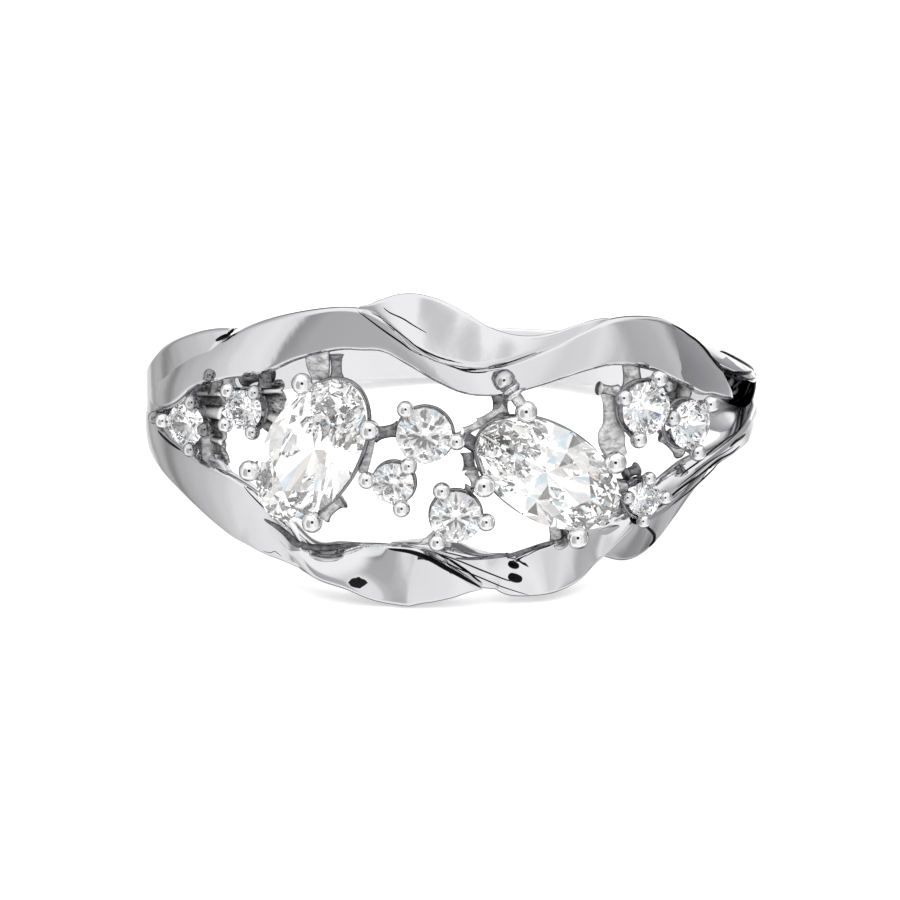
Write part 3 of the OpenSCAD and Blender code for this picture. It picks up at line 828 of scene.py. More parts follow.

# %% [markdown]
# ## Creases
#
# Where two ribbons meet, and along edges that turn away from the eye, a fine dark line is painted
# on: painted shade in the joins and a painted dark reflection along the edges. Each crease is a
# thin wire that lies half sunk in the outermost surface, and a ray sent in toward the finger
# finds that surface. A row names the crease and gives the wire's radius and its path, as pairs of
# an angle and a height. Two short fat ones are a painted dark reflection on the front fold. The
# second table's lines are painted shade where strips pass behind each other at the right, so
# their ray is sent along the line of sight and stops at the first strip that it meets. The third
# table's are the rough inner edges under the oval stones.

# %% Table of the creases
CREASES = {
    "upper_diagonal": (0.032, [(-17.8, 4.42), (-15, 4.12), (-12.2, 3.80), (-9.3, 3.47),
                               (-7.1, 3.19), (-5.2, 3.07)]),
    "upper_join": (0.020, [(-15.4, 4.40), (-13.4, 4.24), (-11.2, 3.98), (-8.4, 3.66),
                           (-5.6, 3.28), (-2.4, 2.96)]),
    "upper_sweep": (0.030, [(-4.6, 2.98), (-1.5, 2.82), (1.3, 2.66), (4.0, 2.63), (6.8, 2.68),
                            (11.4, 2.90), (15.7, 3.12)]),
    "fold_line": (0.024, [(-13.1, 4.56), (-11.9, 4.42), (-9.3, 4.24), (-7.4, 4.05),
                          (-4.8, 3.80)]),
    "leaf_top": (0.050, [(64.0, 2.26), (66.0, 2.16), (70.5, 1.86), (75.0, 1.58), (80.0, 1.29),
                         (86.0, 1.02)]),
    "leaf_low": (0.045, [(56.0, 2.48), (57.8, 2.20), (60.0, 1.92), (62.5, 1.68), (65.7, 1.46),
                         (68.9, 1.27), (73.4, 1.10), (80.1, 0.96)]),
    "leaf_end": (0.075, [(65.0, 1.58), (68.6, 1.45), (72.3, 1.34), (77.5, 1.24)]),
    "right_top": (0.050, [(45.2, 3.60), (47.8, 3.39), (50.4, 3.13), (52.9, 2.89), (55.6, 2.55),
                          (58.1, 2.19), (61.3, 1.91), (64.9, 1.63), (68.5, 1.38)]),
    "left_notch": (0.075, [(-50.2, 2.96), (-48.8, 3.08), (-47.2, 3.22), (-45.6, 3.44)]),
    "lower_wedge": (0.085, [(-12.2, -3.15), (-7.9, -3.22), (-4.4, -3.42), (-1.5, -3.70),
                            (1.7, -4.02), (5.3, -4.40)]),
    "lower_line": (0.022, [(-4.2, -3.33), (0.0, -3.70), (4.8, -4.05), (9.4, -4.39),
                           (14.5, -4.69)]),
    "lower_sweep": (0.026, [(-2.4, -3.30), (1.3, -3.52), (5.3, -3.82), (9.6, -4.13),
                            (11.3, -4.21)]),
    "left_nick": (0.012, [(-38.2, -3.60), (-36.3, -3.60), (-35.2, -3.54), (-33.6, -3.67)]),
    "left_inner": (0.050, [(-75.5, -0.64), (-69.5, -0.80), (-63.5, -0.94)]),
    "left_edge": (0.022, [(-43.4, -1.60), (-39.0, -2.08), (-35.6, -2.46)]),
    "fold_mark_high": (0.120, [(10.4, -3.60), (11.3, -3.68), (12.4, -3.74)]),
    "fold_mark_low": (0.150, [(10.4, -4.00), (11.6, -4.10), (13.0, -4.16)]),
    "top_edge_pair": (0.020, [(13.2, -3.45), (16.0, -3.23), (18.6, -3.11), (20.3, -2.94)]),
}

# %% Table of the lines between strips
SEEN_LINES = {
    "right_dark_high": (0.034, [(74.0, -0.61), (67.0, -0.67), (60.5, -0.84), (54.9, -1.11),
                                (50.8, -1.30), (49.1, -1.45)]),
    "right_dark_wide": (0.052, [(80.2, -0.90), (75.7, -0.90), (71.5, -0.90), (68.1, -0.99)]),
    "right_dark_low": (0.042, [(74.9, -1.13), (69.3, -1.21), (62.7, -1.26), (56.3, -1.50),
                               (49.7, -1.79), (45.9, -2.06), (42.0, -2.39)]),
    "right_fine": (0.025, [(70.5, -1.03), (64.0, -1.10), (59.3, -1.20), (54.9, -1.37),
                           (51.3, -1.57), (47.9, -1.78)]),
    "right_foot": (0.030, [(63.6, -1.32), (60.5, -1.50), (57.1, -1.69), (53.6, -1.89),
                           (49.7, -2.12), (46.8, -2.31)]),
    "fold_ring": (0.060, [(39.3, -2.75), (40.3, -2.91), (41.4, -3.06), (42.0, -3.20),
                          (41.8, -3.38), (40.6, -3.53)]),
    "seat_dark": (0.080, [(35.9, -2.49), (36.9, -2.64), (38.1, -2.66), (39.1, -2.55)]),
}

# %% Table of the inner edges
INNER_EDGES = {
    "left_flank": (0.125, [(-37.8, -2.54), (-34.9, -2.72), (-32.8, -2.90), (-31.2, -3.10),
                           (-29.4, -3.27), (-27.1, -3.33), (-24.5, -3.32), (-21.4, -3.22),
                           (-18.3, -3.12)]),
    "middle_flank": (0.070, [(0.4, -3.42), (3.5, -3.43), (7.6, -3.40), (10.6, -3.36),
                             (13.1, -3.24), (16.9, -3.06), (20.5, -2.92)]),
}

# %% Wires on the surface
START_RADIUS = 13.0
OPEN_AIR_RADIUS = 9.75
SEEN_AT, SEEN_FROM = 9.6, 8.0
WIRE_STEPS, WIRE_POINTS, WIRE_TIP = 10, 8, 0.05
SURFACES = [BVHTree.FromPolygons(shell[0].reshape(-1, 3).tolist(), shell[1])
            for shell in map(ribbon, RIBBONS.values())]


def outermost(angle, height):
    """Radius of the outermost polished surface at an angle and height: the nearest hit of a ray
    from outside, taken over all strips, as long as it lies outside the finger's hole. Where
    there is none, a usual radius."""
    place = Vector(on_ring(angle, height, START_RADIUS))
    inward = Vector(-on_ring(angle, 0, 1))
    hits = [surface.ray_cast(place, inward)[3] for surface in SURFACES]
    reach = [hit for hit in hits if hit is not None and hit < START_RADIUS - FINGER_R]
    return START_RADIUS - min(reach, default=START_RADIUS - OPEN_AIR_RADIUS)


def first_seen(angle, height):
    """Where the line of sight through a place on the ring first meets a polished surface."""
    place = on_ring(angle, height, SEEN_AT)
    start = place - AHEAD * SEEN_FROM
    hits = [surface.ray_cast(Vector(start), Vector(AHEAD))[3] for surface in SURFACES]
    return start + AHEAD * min((hit for hit in hits if hit is not None), default=SEEN_FROM)


def crease(radius, path, seen=False):
    """A thin wire along the outermost surface, or the first one seen. Its radius follows half an
    ellipse over its length, so it tapers to nothing at both ends."""
    rows = smooth_rows([(angle, height, 0) for angle, height in path], WIRE_STEPS)
    if seen:
        line = np.array([first_seen(angle, height) for angle, height, _ in rows])
    else:
        stand = [outermost(angle, height) for angle, height, _ in rows]
        line = on_ring(rows[:, 0], rows[:, 1], np.array(stand))
    share = np.linspace(0, 1, len(line))
    thick = radius * np.clip(np.sqrt(4 * share * (1 - share)), WIRE_TIP, 1)
    along = unit(np.gradient(line, axis=0))
    out = unit(on_ring(rows[:, 0], 0 * rows[:, 1], 1.0))
    side = unit(np.cross(out, along))
    turn = np.linspace(0, 2 * math.pi, WIRE_POINTS, endpoint=False)[None, :, None]
    return tube(line[:, None] + thick[:, None, None] * (side[:, None] * np.cos(turn)
                                                        + out[:, None] * np.sin(turn)))


wires = [crease(*row) for row in CREASES.values()]
wires += [crease(*row, seen=True) for row in SEEN_LINES.values()]
creases = make_piece("creases", wires)
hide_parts("ring_body")
inner_edges = make_piece("inner_edges", [crease(*row) for row in INNER_EDGES.values()])
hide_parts("ring_body")
print("creases:", len(wires), "inner edges:", len(INNER_EDGES))

# %% [markdown]
# ## Nodes and colours
#
# Colours are written as a designer would name them, in sRGB hex, and turned to the linear light
# that the renderer works in. One small function adds a node with its settings and its links.

# %% Helpers for materials


def linear(hex_colour):
    """An sRGB hex colour as linear red, green, blue and 1."""
    parts = [int(hex_colour[k:k + 2], 16) / 255 for k in (1, 3, 5)]
    return tuple(c / 12.92 if c <= 0.04045 else ((c + 0.055) / 1.055) ** 2.4
                 for c in parts) + (1.0,)


def add(tree, kind, settings=None, **links):
    """A node of a kind, with its properties set and its inputs set or linked by name."""
    node = tree.nodes.new(kind)
    for key, value in (settings or {}).items():
        setattr(node, key, value)
    for key, value in links.items():
        socket = node.inputs[int(key[1:])] if key[1:].isdigit() else node.inputs[
            key.replace("_", " ")]
        if isinstance(value, bpy.types.NodeSocket):
            tree.links.new(value, socket)
        else:
            socket.default_value = value
    return node


def new_material(name):
    """An empty node material and its tree."""
    material = bpy.data.materials.new(name)
    material.use_nodes = True
    material.node_tree.nodes.clear()
    return material, material.node_tree


# %% [markdown]
# ## Rhodium-plated silver, cast and polished
#
# Rhodium is a cool white metal and mirrors its surroundings. A polishing wheel leaves the sheet
# very slightly wavy, and its last haze varies from place to place. So the roughness drifts a
# little with a soft noise of a millimetre or two, and a faint bump of half a millimetre bends
# the reflections. The wheel doesn't reach the finger's side so well, which stays matt. Each point
# carries its distance from the finger's axis as an attribute, so one material knows the ring's
# inside, the depth between the beads and its outside. Between the beads the metal is painted
# darker as shade, the outside of the right recess is painted nearly black as shade in patches,
# and the rims of the small parts take a painted dark reflection where they curve away.

# %% Measures of the finish
WAVE_SCALE, DRIFT_SCALE = 1.6, 0.8
INSIDE_FROM, INSIDE_FULL, INSIDE_ROUGH, INSIDE_METAL = 9.35, 8.85, 0.26, 0.45
# Where the painted dark rims, the painted shade between beads and the recess's painted shade fall:
RIM_SHADE_FROM, RIM_SHADE_FULL = 0.50, 0.84
DEEP_SHADE_FROM, DEEP_SHADE_FULL = 10.30, 9.95
RECESS_SHADE_FROM, RECESS_SHADE_FULL, SHADE_PATCH_SCALE = 9.30, 9.50, 0.9
SHADE_PATCH_FROM, SHADE_PATCH_FULL, SHADE_PATCH_LEFT = 0.60, 0.46, 0.35
RECESS_SHADE_REAR = (-1.6, 0.4)


# %% Polished metal
def rhodium(name, colour, rough, haze, wave, rim=None, recess_shade=None, deep=None):
    """A mirror-like metal: roughness drifts between rough and haze, wave is the bump's depth.
    The rim colour is a painted dark reflection where the metal curves away from the eye, and the
    deep colour a painted shade between the stones. The recess colour is a painted shade over the
    outside in patches, ending toward the rear of the ring, and it darkens the reflections too."""
    material, tree = new_material(name)
    place = add(tree, "ShaderNodeTexCoord").outputs["Object"]
    drift = add(tree, "ShaderNodeTexNoise", Vector=place, Scale=DRIFT_SCALE * MM, Detail=3.0)
    spread = add(tree, "ShaderNodeMapRange", Value=drift.outputs["Fac"], From_Min=0.35,
                 From_Max=0.7, To_Min=rough, To_Max=haze)
    reach = add(tree, "ShaderNodeAttribute", {"attribute_name": "from_axis"})
    inward = add(tree, "ShaderNodeMapRange", Value=reach.outputs["Fac"], From_Min=INSIDE_FULL,
                 From_Max=INSIDE_FROM, To_Min=INSIDE_ROUGH, To_Max=0.0)
    cloth = add(tree, "ShaderNodeMath", {"operation": "ADD"}, _0=spread.outputs["Result"],
                _1=inward.outputs["Result"])
    mirror = add(tree, "ShaderNodeMapRange", Value=reach.outputs["Fac"], From_Min=INSIDE_FULL,
                 From_Max=INSIDE_FROM, To_Min=INSIDE_METAL, To_Max=1.0)
    ripple = add(tree, "ShaderNodeTexNoise", Vector=place, Scale=WAVE_SCALE * MM, Detail=2.0)
    bump = add(tree, "ShaderNodeBump", Height=ripple.outputs["Fac"], Strength=0.6,
               Distance=wave / MM)
    plate = linear(colour)
    # Painted dark reflection where the metal curves away from the eye.
    if rim:
        facing = add(tree, "ShaderNodeLayerWeight", Blend=0.5)
        rim_shade_share = add(tree, "ShaderNodeMapRange", {"interpolation_type": "SMOOTHSTEP"},
                          Value=facing.outputs["Facing"], From_Min=RIM_SHADE_FROM, From_Max=RIM_SHADE_FULL)
        plate = add(tree, "ShaderNodeMix", {"data_type": "RGBA"}, _0=rim_shade_share.outputs[
            "Result"], _6=plate, _7=linear(rim)).outputs[2]
    # Painted shade between the stones, nearer the finger's axis.
    if deep:
        lower = add(tree, "ShaderNodeMapRange", {"interpolation_type": "SMOOTHSTEP"},
                    Value=reach.outputs["Fac"], From_Min=DEEP_SHADE_FULL, From_Max=DEEP_SHADE_FROM,
                    To_Min=1.0, To_Max=0.0)
        plate = add(tree, "ShaderNodeMix", {"data_type": "RGBA"}, _0=lower.outputs["Result"],
                    _6=plate, _7=linear(deep)).outputs[2]
    # Painted shade on the outside, in patches, fading toward the rear of the ring.
    if recess_shade:
        outside = add(tree, "ShaderNodeMapRange", Value=reach.outputs["Fac"],
                      From_Min=RECESS_SHADE_FROM, From_Max=RECESS_SHADE_FULL)
        shade_patches = add(tree, "ShaderNodeTexNoise", Vector=place, Scale=SHADE_PATCH_SCALE * MM,
                    Detail=3.0, Distortion=1.2)
        left = add(tree, "ShaderNodeMapRange", Value=shade_patches.outputs["Fac"],
                   From_Min=SHADE_PATCH_FULL, From_Max=SHADE_PATCH_FROM, To_Min=1.0, To_Max=SHADE_PATCH_LEFT)
        rear = add(tree, "ShaderNodeMapRange", Value=add(
            tree, "ShaderNodeSeparateXYZ", Vector=place).outputs["Y"], From_Min=RECESS_SHADE_REAR[0] / MM,
            From_Max=RECESS_SHADE_REAR[1] / MM, To_Min=1.0, To_Max=0.0)
        share = add(tree, "ShaderNodeMath", {"operation": "MULTIPLY"},
                    _0=outside.outputs["Result"], _1=left.outputs["Result"])
        share = add(tree, "ShaderNodeMath", {"operation": "MULTIPLY"},
                    _0=share.outputs["Value"], _1=rear.outputs["Result"])
        plate = add(tree, "ShaderNodeMix", {"data_type": "RGBA"}, _0=share.outputs["Value"],
                    _6=plate, _7=linear(recess_shade)).outputs[2]
    # A recess shade colour also tints the reflections dark, a painted dark reflection.
    metal = add(tree, "ShaderNodeBsdfPrincipled", Base_Color=plate,
                Metallic=mirror.outputs["Result"], Roughness=cloth.outputs["Value"],
                Normal=bump.outputs["Normal"],
                Specular_Tint=linear(recess_shade) if recess_shade else (1, 1, 1, 1))
    add(tree, "ShaderNodeOutputMaterial", Surface=metal.outputs["BSDF"])
    return material


# %% Finishes of the polished pieces
# Wheel-polished plate: a clear mirror with long, calm reflections.
polish = rhodium("rhodium_plate_polished", "#E8E8EA", 0.02, 0.05, 0.01)
# Plate in the right recess, painted nearly black with paler patches as shade, its reflections
# darkened too.
recess_shade_plate = rhodium("rhodium_plate_recess", "#DCDCDE", 0.04, 0.12, 0.02, recess_shade="#1C1C1E")
# Plate on the low fold at the right: a greyer mirror, a painted shade on this underside.
shaded_fold_plate = rhodium("rhodium_plate_shaded", "#BCBCBE", 0.02, 0.06, 0.01)
# Plate only brushed, inside the shoulder: soft and without a clear reflection.
satin = rhodium("rhodium_plate_satin", "#E6E6E8", 0.22, 0.30, 0.01)
# Plate on the small round parts: bright beads with a painted dark reflection at their rims and
# painted shade on their feet.
bead_plate = rhodium("rhodium_plate_small_parts", "#FAFAFB", 0.02, 0.05, 0.01, rim="#3A3A3C",
                     deep="#9A9A9C")
polished_finish = {"right_recess": recess_shade_plate, "lower_fold": shaded_fold_plate}
for piece in polished:
    piece.data.materials.append(polished_finish.get(piece.name, polish))
for piece in baskets + [column, studs]:
    piece.data.materials.append(bead_plate)
print("polished pieces:", len(polished) + len(baskets) + 2)

# %% [markdown]
# ## Silver as it was cast
#
# The mould leaves a fine grain, and no tool reaches into the gaps to take it off. There the metal
# is only partly a mirror: a pale or dark skin of tarnish scatters the light. So a noise, drawn
# out along the ring, mixes a dark and a light grey, and the same noise makes the pits. The skin
# is painted darker where it turns away from the eye, a painted shade at its rims. The walls are
# painted paler on their ledges and darker in the steps between them, as painted light and shade.

# %% Metal as cast
PITS_DARK, PITS_LIGHT, PIT_DEPTH = 0.25, 0.60, 0.06
# The painted shade where the skin turns away from the eye:
EDGE_SHADE_FROM, EDGE_SHADE_FULL = 0.30, 0.70
CAST_ROUGH, MATT_ROUGH = 0.28, 0.20
# Painted light on the ledges and painted shade in the steps between them, then a paler face toward
# the finger:
LEDGE_FROM, LEDGE_FULL, STEP_SHADE, LEDGE_LIGHT = 9.31, 9.41, -0.12, 0.20
WALL_BACK, WALL_STEP, WALL_PALE = 9.05, 0.1, 0.30


def as_cast(name, dark, light, grain, matt=0.0, drawn_out=0.5, ledge_shade=False):
    """Unpolished metal: a skin between a dark and a light grey, with a grain of fine pits that is
    rough to the touch, painted darker as shade where it turns away from the eye. Matt is the share
    that isn't a mirror, and drawn_out below one stretches the grain along the floor. The last flag
    paints the metal paler on its ledges and darker in the steps between them, as light and shade,
    and paler on its face toward the finger."""
    material, tree = new_material(name)
    place = add(tree, "ShaderNodeTexCoord").outputs["Object"]
    drawn = add(tree, "ShaderNodeVectorMath", {"operation": "MULTIPLY"}, _0=place,
                _1=(drawn_out, drawn_out, 1.0)).outputs["Vector"]
    pits = add(tree, "ShaderNodeTexNoise", Vector=drawn, Scale=grain * MM, Detail=4.0,
               Roughness=0.65)
    clean = pits.outputs["Fac"]
    # Painted light on the ledges, painted shade in the steps, and a paler face toward the finger.
    if ledge_shade:
        reach = add(tree, "ShaderNodeAttribute", {"attribute_name": "from_axis"})
        raised = add(tree, "ShaderNodeMapRange", {"interpolation_type": "SMOOTHSTEP"},
                     Value=reach.outputs["Fac"], From_Min=LEDGE_FROM, From_Max=LEDGE_FULL,
                     To_Min=STEP_SHADE, To_Max=LEDGE_LIGHT)
        back = add(tree, "ShaderNodeMapRange", Value=reach.outputs["Fac"], From_Min=WALL_BACK,
                   From_Max=WALL_BACK + WALL_STEP, To_Min=WALL_PALE, To_Max=0.0)
        for lift in (raised, back):
            clean = add(tree, "ShaderNodeMath", {"operation": "ADD"}, _0=clean,
                        _1=lift.outputs["Result"]).outputs["Value"]
    tone = add(tree, "ShaderNodeMapRange", Value=clean, From_Min=PITS_DARK,
               From_Max=PITS_LIGHT)
    skin = add(tree, "ShaderNodeMix", {"data_type": "RGBA"}, _0=tone.outputs["Result"],
               _6=linear(dark), _7=linear(light))
    bump = add(tree, "ShaderNodeBump", Height=pits.outputs["Fac"], Strength=0.8,
               Distance=PIT_DEPTH / MM)
    # Painted shade where the skin turns away from the eye.
    facing = add(tree, "ShaderNodeLayerWeight", Blend=0.5)
    rim_shade_share = add(tree, "ShaderNodeMapRange", {"interpolation_type": "SMOOTHSTEP"},
                      Value=facing.outputs["Facing"], From_Min=EDGE_SHADE_FROM,
                      From_Max=EDGE_SHADE_FULL)
    skin = add(tree, "ShaderNodeMix", {"data_type": "RGBA"}, _0=rim_shade_share.outputs["Result"],
               _6=skin.outputs[2], _7=linear(dark))
    metal = add(tree, "ShaderNodeBsdfPrincipled", Base_Color=skin.outputs[2],
                Metallic=1.0 - matt, Roughness=CAST_ROUGH + MATT_ROUGH * matt,
                Normal=bump.outputs["Normal"])
    add(tree, "ShaderNodeOutputMaterial", Surface=metal.outputs["BSDF"])
    return material


# %% Finishes of the cast pieces
# Straps and posts: a pale, dull skin with a coarse grain.
cast_skin = as_cast("silver_as_cast", "#4A4A4C", "#F2F2F2", 6.0, matt=0.7)
# Posts in the recesses: the same skin painted darker, a painted shade in the recesses.
recess_shade_skin = as_cast("silver_as_cast_recess", "#2C2C2E", "#B0B0B2", 7.0, matt=0.4)
# Walls behind the left stones: a fine grain, painted near white on the ledges and darker in the
# steps, as light and shade.
ledge_shade_skin = as_cast("silver_as_cast_ledge_shade", "#303032", "#FAFAFA", 14.0, matt=0.75,
                    drawn_out=0.35, ledge_shade=True)
# Inner edges: bright metal with black pits, which breaks the edge's reflection up.
edge_skin = as_cast("silver_as_cast_edge", "#141416", "#9A9A9C", 9.0)
# Creases: nearly black wires with a faint sheen, painted shade and painted dark reflection where
# ribbons meet and along their edges.
crease_shade = as_cast("silver_painted_shade_crease", "#0C0C0D", "#1E1E20", 3.0)
cast_finish = {"shoulder_pocket": satin, "left_web": satin}
for piece in straps + [posts]:
    piece.data.materials.append(cast_finish.get(piece.name, cast_skin))
for piece in walls:
    piece.data.materials.append(ledge_shade_skin)
recesses.data.materials.append(recess_shade_skin)
inner_edges.data.materials.append(edge_skin)
creases.data.materials.append(crease_shade)
print("cast pieces:", len(straps) + len(walls) + 4)

# %% [markdown]
# ## Cubic zirconia
#
# Cubic zirconia is a clear, heavy crystal with a high index of refraction, cut and polished into
# flat facets. Nearly all of its look comes from the facets bending and mirroring the light, so
# the stones stay flat-shaded. Only a trace of haze is left by the polishing lap, uneven over half
# a millimetre. A trace of glow stands for the light that a real stone gathers from a wider room
# than these panels.

# %% The stones
CZ_INDEX = 2.17
INNER_GLOW = {"oval": 0.010, "round": 0.0015}


def cubic_zirconia(cut, colour):
    """Clear crystal with the faintest veil of uneven roughness from the polishing lap."""
    material, tree = new_material("cubic_zirconia_" + cut)
    place = add(tree, "ShaderNodeTexCoord").outputs["Object"]
    veil = add(tree, "ShaderNodeTexNoise", Vector=place, Scale=2.0 * MM, Detail=2.0)
    haze = add(tree, "ShaderNodeMapRange", Value=veil.outputs["Fac"], From_Min=0.4,
               From_Max=0.8, To_Min=0.0, To_Max=0.02)
    crystal = add(tree, "ShaderNodeBsdfPrincipled", Base_Color=linear(colour),
                  Roughness=haze.outputs["Result"], IOR=CZ_INDEX, Transmission_Weight=1.0,
                  Emission_Color=linear("#FFFCF8"), Emission_Strength=INNER_GLOW[cut])
    add(tree, "ShaderNodeOutputMaterial", Surface=crystal.outputs["BSDF"])
    return material


crystals = {"oval": cubic_zirconia("oval", "#FAFAFA"),
            "round": cubic_zirconia("round", "#F0F0F2")}
for name in STONES:
    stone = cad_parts[name]
    stone.data.materials.clear()
    stone.data.materials.append(crystals[name.split("_")[0]])
    for polygon in stone.data.polygons:
        polygon.use_smooth = False
print("stones:", len(STONES))

# %% [markdown]
# ## The table
#
# The ring lies on white paper. The paper gives off a little light of its own, as a sheet lit from
# behind does, so that it comes out nearly white and keeps only a faint shadow. It stays out of
# the metal's mirrors, which show the panels further down instead, while the clear stones do look
# through to it.

# %% The table
TABLE_SIDE = 4.0
TABLE_GLOW = 0.22


def stage_plane(name, corners, material):
    """A flat face through four corners, part of the studio and not of the ring."""
    mesh = bpy.data.meshes.new(name)
    mesh.from_pydata([tuple(c) for c in corners], [], [(0, 1, 2, 3)])
    mesh.materials.append(material)
    plane = bpy.data.objects.new(name, mesh)
    bpy.context.scene.collection.objects.link(plane)
    return plane


white, tree = new_material("white_paper")
paper = add(tree, "ShaderNodeBsdfPrincipled", Base_Color=linear("#F6F6F6"), Roughness=0.9,
            Emission_Color=linear("#FFFFFF"), Emission_Strength=TABLE_GLOW)
add(tree, "ShaderNodeOutputMaterial", Surface=paper.outputs["BSDF"])
side = TABLE_SIDE / 2
table = stage_plane("table", [(-side, -side, 0), (side, -side, 0), (side, side, 0),
                              (-side, side, 0)], white)
table.visible_glossy = False
print("table side, m:", TABLE_SIDE)

# %% [markdown]
# ## Two cards
#
# A round bead mirrors the whole studio, and the photographer's camera is the small dark dot in
# its middle. A black card just behind the lens gives that dot. The same card makes the dark
# blotch on the front fold. A second card, grey and small, stands close to the ring's right side
# and lays an even grey on the upper ribbon's end. It is darker in front. Only mirrors see them.

# %% The lens card
CARD_BEHIND_LENS = 0.03
CARD_HALF_ANGLE = 14.0
black, tree = new_material("black_card")
felt = add(tree, "ShaderNodeBsdfPrincipled", Base_Color=linear("#101010"), Roughness=0.9)
add(tree, "ShaderNodeOutputMaterial", Surface=felt.outputs["BSDF"])
lens_place = np.array(bpy.context.scene.camera.matrix_world.translation)
card_middle = lens_place - SIGHT * CARD_BEHIND_LENS
card_side = np.linalg.norm(card_middle) * math.tan(math.radians(CARD_HALF_ANGLE))
across = unit(np.cross(SIGHT, [0, 0, 1]))
above = np.cross(across, SIGHT)
card = stage_plane("lens_card", [card_middle + card_side * (a * across + b * above)
                                 for a, b in ((-1, -1), (1, -1), (1, 1), (-1, 1))], black)
card.visible_camera = card.visible_diffuse = card.visible_transmission = False
card.visible_shadow = False
print("lens card, half its side in mm:", round(MM * card_side, 1))

# %% The grey card at the right
FLAG_AT = 12.4
FLAG_Y, FLAG_Z = (-6.2, 1.6), (-1.8, 3.4)
FLAG_PALE_AT = -1.0
grey, tree = new_material("grey_card")
along = add(tree, "ShaderNodeSeparateXYZ", Vector=add(
    tree, "ShaderNodeTexCoord").outputs["Object"]).outputs["Y"]
paler = add(tree, "ShaderNodeMapRange", Value=along, From_Min=FLAG_Y[0] / MM,
            From_Max=FLAG_PALE_AT / MM)
tone = add(tree, "ShaderNodeMix", {"data_type": "RGBA"}, _0=paler.outputs["Result"],
           _6=linear("#7E7E80"), _7=linear("#A6A6A8"))
card_stock = add(tree, "ShaderNodeBsdfPrincipled", Base_Color=tone.outputs[2], Roughness=0.9)
add(tree, "ShaderNodeOutputMaterial", Surface=card_stock.outputs["BSDF"])
flag = stage_plane("flag", lay([(FLAG_AT, FLAG_Y[a], FLAG_Z[b])
                                for a, b in ((0, 0), (1, 0), (1, 1), (0, 1))]), grey)
flag.visible_camera = flag.visible_diffuse = flag.visible_transmission = False
flag.visible_shadow = False
print("grey card, from the ring's middle in mm:", FLAG_AT)

# %% [markdown]
# ## The panels round the ring
#
# Polished metal shows its surroundings, so a ring is photographed among tall pale panels: the
# stripes of light and grey that run along the ribbons are those panels. The table lists how
# bright they are all the way round, by their direction from the ring in degrees, with 0 toward
# the camera and 90 to the right. Higher up they give way to an even white ceiling, and far down
# to a white floor.

# %% The panels
PANELS = [
    (-180, 0.90), (-150, 0.70), (-139, 0.50), (-130, 0.30), (-119, 0.50), (-107, 0.60),
    (-94, 0.74), (-86, 0.88), (-74, 0.94), (-67, 0.88), (-61, 0.36), (-50, 0.48), (-28, 0.50),
    (-22, 0.60), (-15, 0.88), (0, 0.92), (12, 1.0), (26, 0.90), (36, 0.78), (46, 0.80),
    (56, 0.88), (70, 0.50), (80, 0.54), (89, 0.62), (96, 0.36), (101, 0.24), (108, 0.44),
    (115, 0.66), (130, 0.72), (139, 1.10), (160, 1.20), (175, 0.90),
]
CEILING = 1.05
CEILING_FROM, CEILING_TO = 22, 55
FLOOR = 0.98
FLOOR_FROM, FLOOR_TO = 28, 50

world = bpy.data.worlds.new("panels")
bpy.context.scene.world = world
world.use_nodes = True
tree = world.node_tree
tree.nodes.clear()
look = add(tree, "ShaderNodeSeparateXYZ", Vector=add(tree, "ShaderNodeTexCoord").outputs[
    "Generated"])
back = add(tree, "ShaderNodeMath", {"operation": "MULTIPLY"}, _0=look.outputs["Y"], _1=-1.0)
turn = add(tree, "ShaderNodeMath", {"operation": "ARCTAN2"}, _0=look.outputs["X"],
           _1=back.outputs["Value"])
share = add(tree, "ShaderNodeMapRange", Value=turn.outputs["Value"], From_Min=-math.pi,
            From_Max=math.pi)
ramp = add(tree, "ShaderNodeValToRGB", Fac=share.outputs["Result"])
ramp.color_ramp.interpolation = "EASE"
stops = ramp.color_ramp.elements
while len(stops) < len(PANELS):
    stops.new(0.5)
for stop, (azimuth, bright) in zip(stops, PANELS):
    stop.position = (azimuth + 180) / 360
    stop.color = (bright, bright, bright, 1)


def smooth_step(value, low, high):
    """A value turned into 0 to 1 as it goes from low to high; low may be the larger."""
    upward = low < high
    return add(tree, "ShaderNodeMapRange", {"interpolation_type": "SMOOTHSTEP"}, Value=value,
               From_Min=min(low, high), From_Max=max(low, high), To_Min=0.0 if upward else 1.0,
               To_Max=1.0 if upward else 0.0).outputs["Result"]


def mixed(share, first, second, blend="MIX"):
    """Two colours mixed by a share, each a socket or a plain colour."""
    return add(tree, "ShaderNodeMix", {"data_type": "RGBA", "blend_type": blend}, _0=share,
               _6=first, _7=second).outputs[2]


def product(first, second):
    """One value times another."""
    return add(tree, "ShaderNodeMath", {"operation": "MULTIPLY"}, _0=first,
               _1=second).outputs["Value"]


def size_of(value):
    """A value without its sign."""
    return add(tree, "ShaderNodeMath", {"operation": "ABSOLUTE"}, _0=value).outputs["Value"]


def cosine(degrees):
    """The cosine of an angle in degrees."""
    return math.cos(math.radians(degrees))


rise = smooth_step(look.outputs["Z"], math.sin(math.radians(CEILING_FROM)),
                   math.sin(math.radians(CEILING_TO)))
room = mixed(rise, ramp.outputs["Color"], (CEILING, CEILING, CEILING, 1))
fall = smooth_step(look.outputs["Z"], -math.sin(math.radians(FLOOR_FROM)),
                   -math.sin(math.radians(FLOOR_TO)))
room = mixed(fall, room, (FLOOR, FLOOR, FLOOR, 1))
print("panels:", len(PANELS))

# %% [markdown]
# ## Two dark places
#
# The soft grey in the middle of the upper fold is a mirror of something hung high up at the
# right. Behind the ring the panels leave a dark gap, and surfaces that turn steeply away from
# the eye mirror it as black lines. Both places are found by how near a direction is to a chosen
# one, and the room is darkened there along a smooth step.

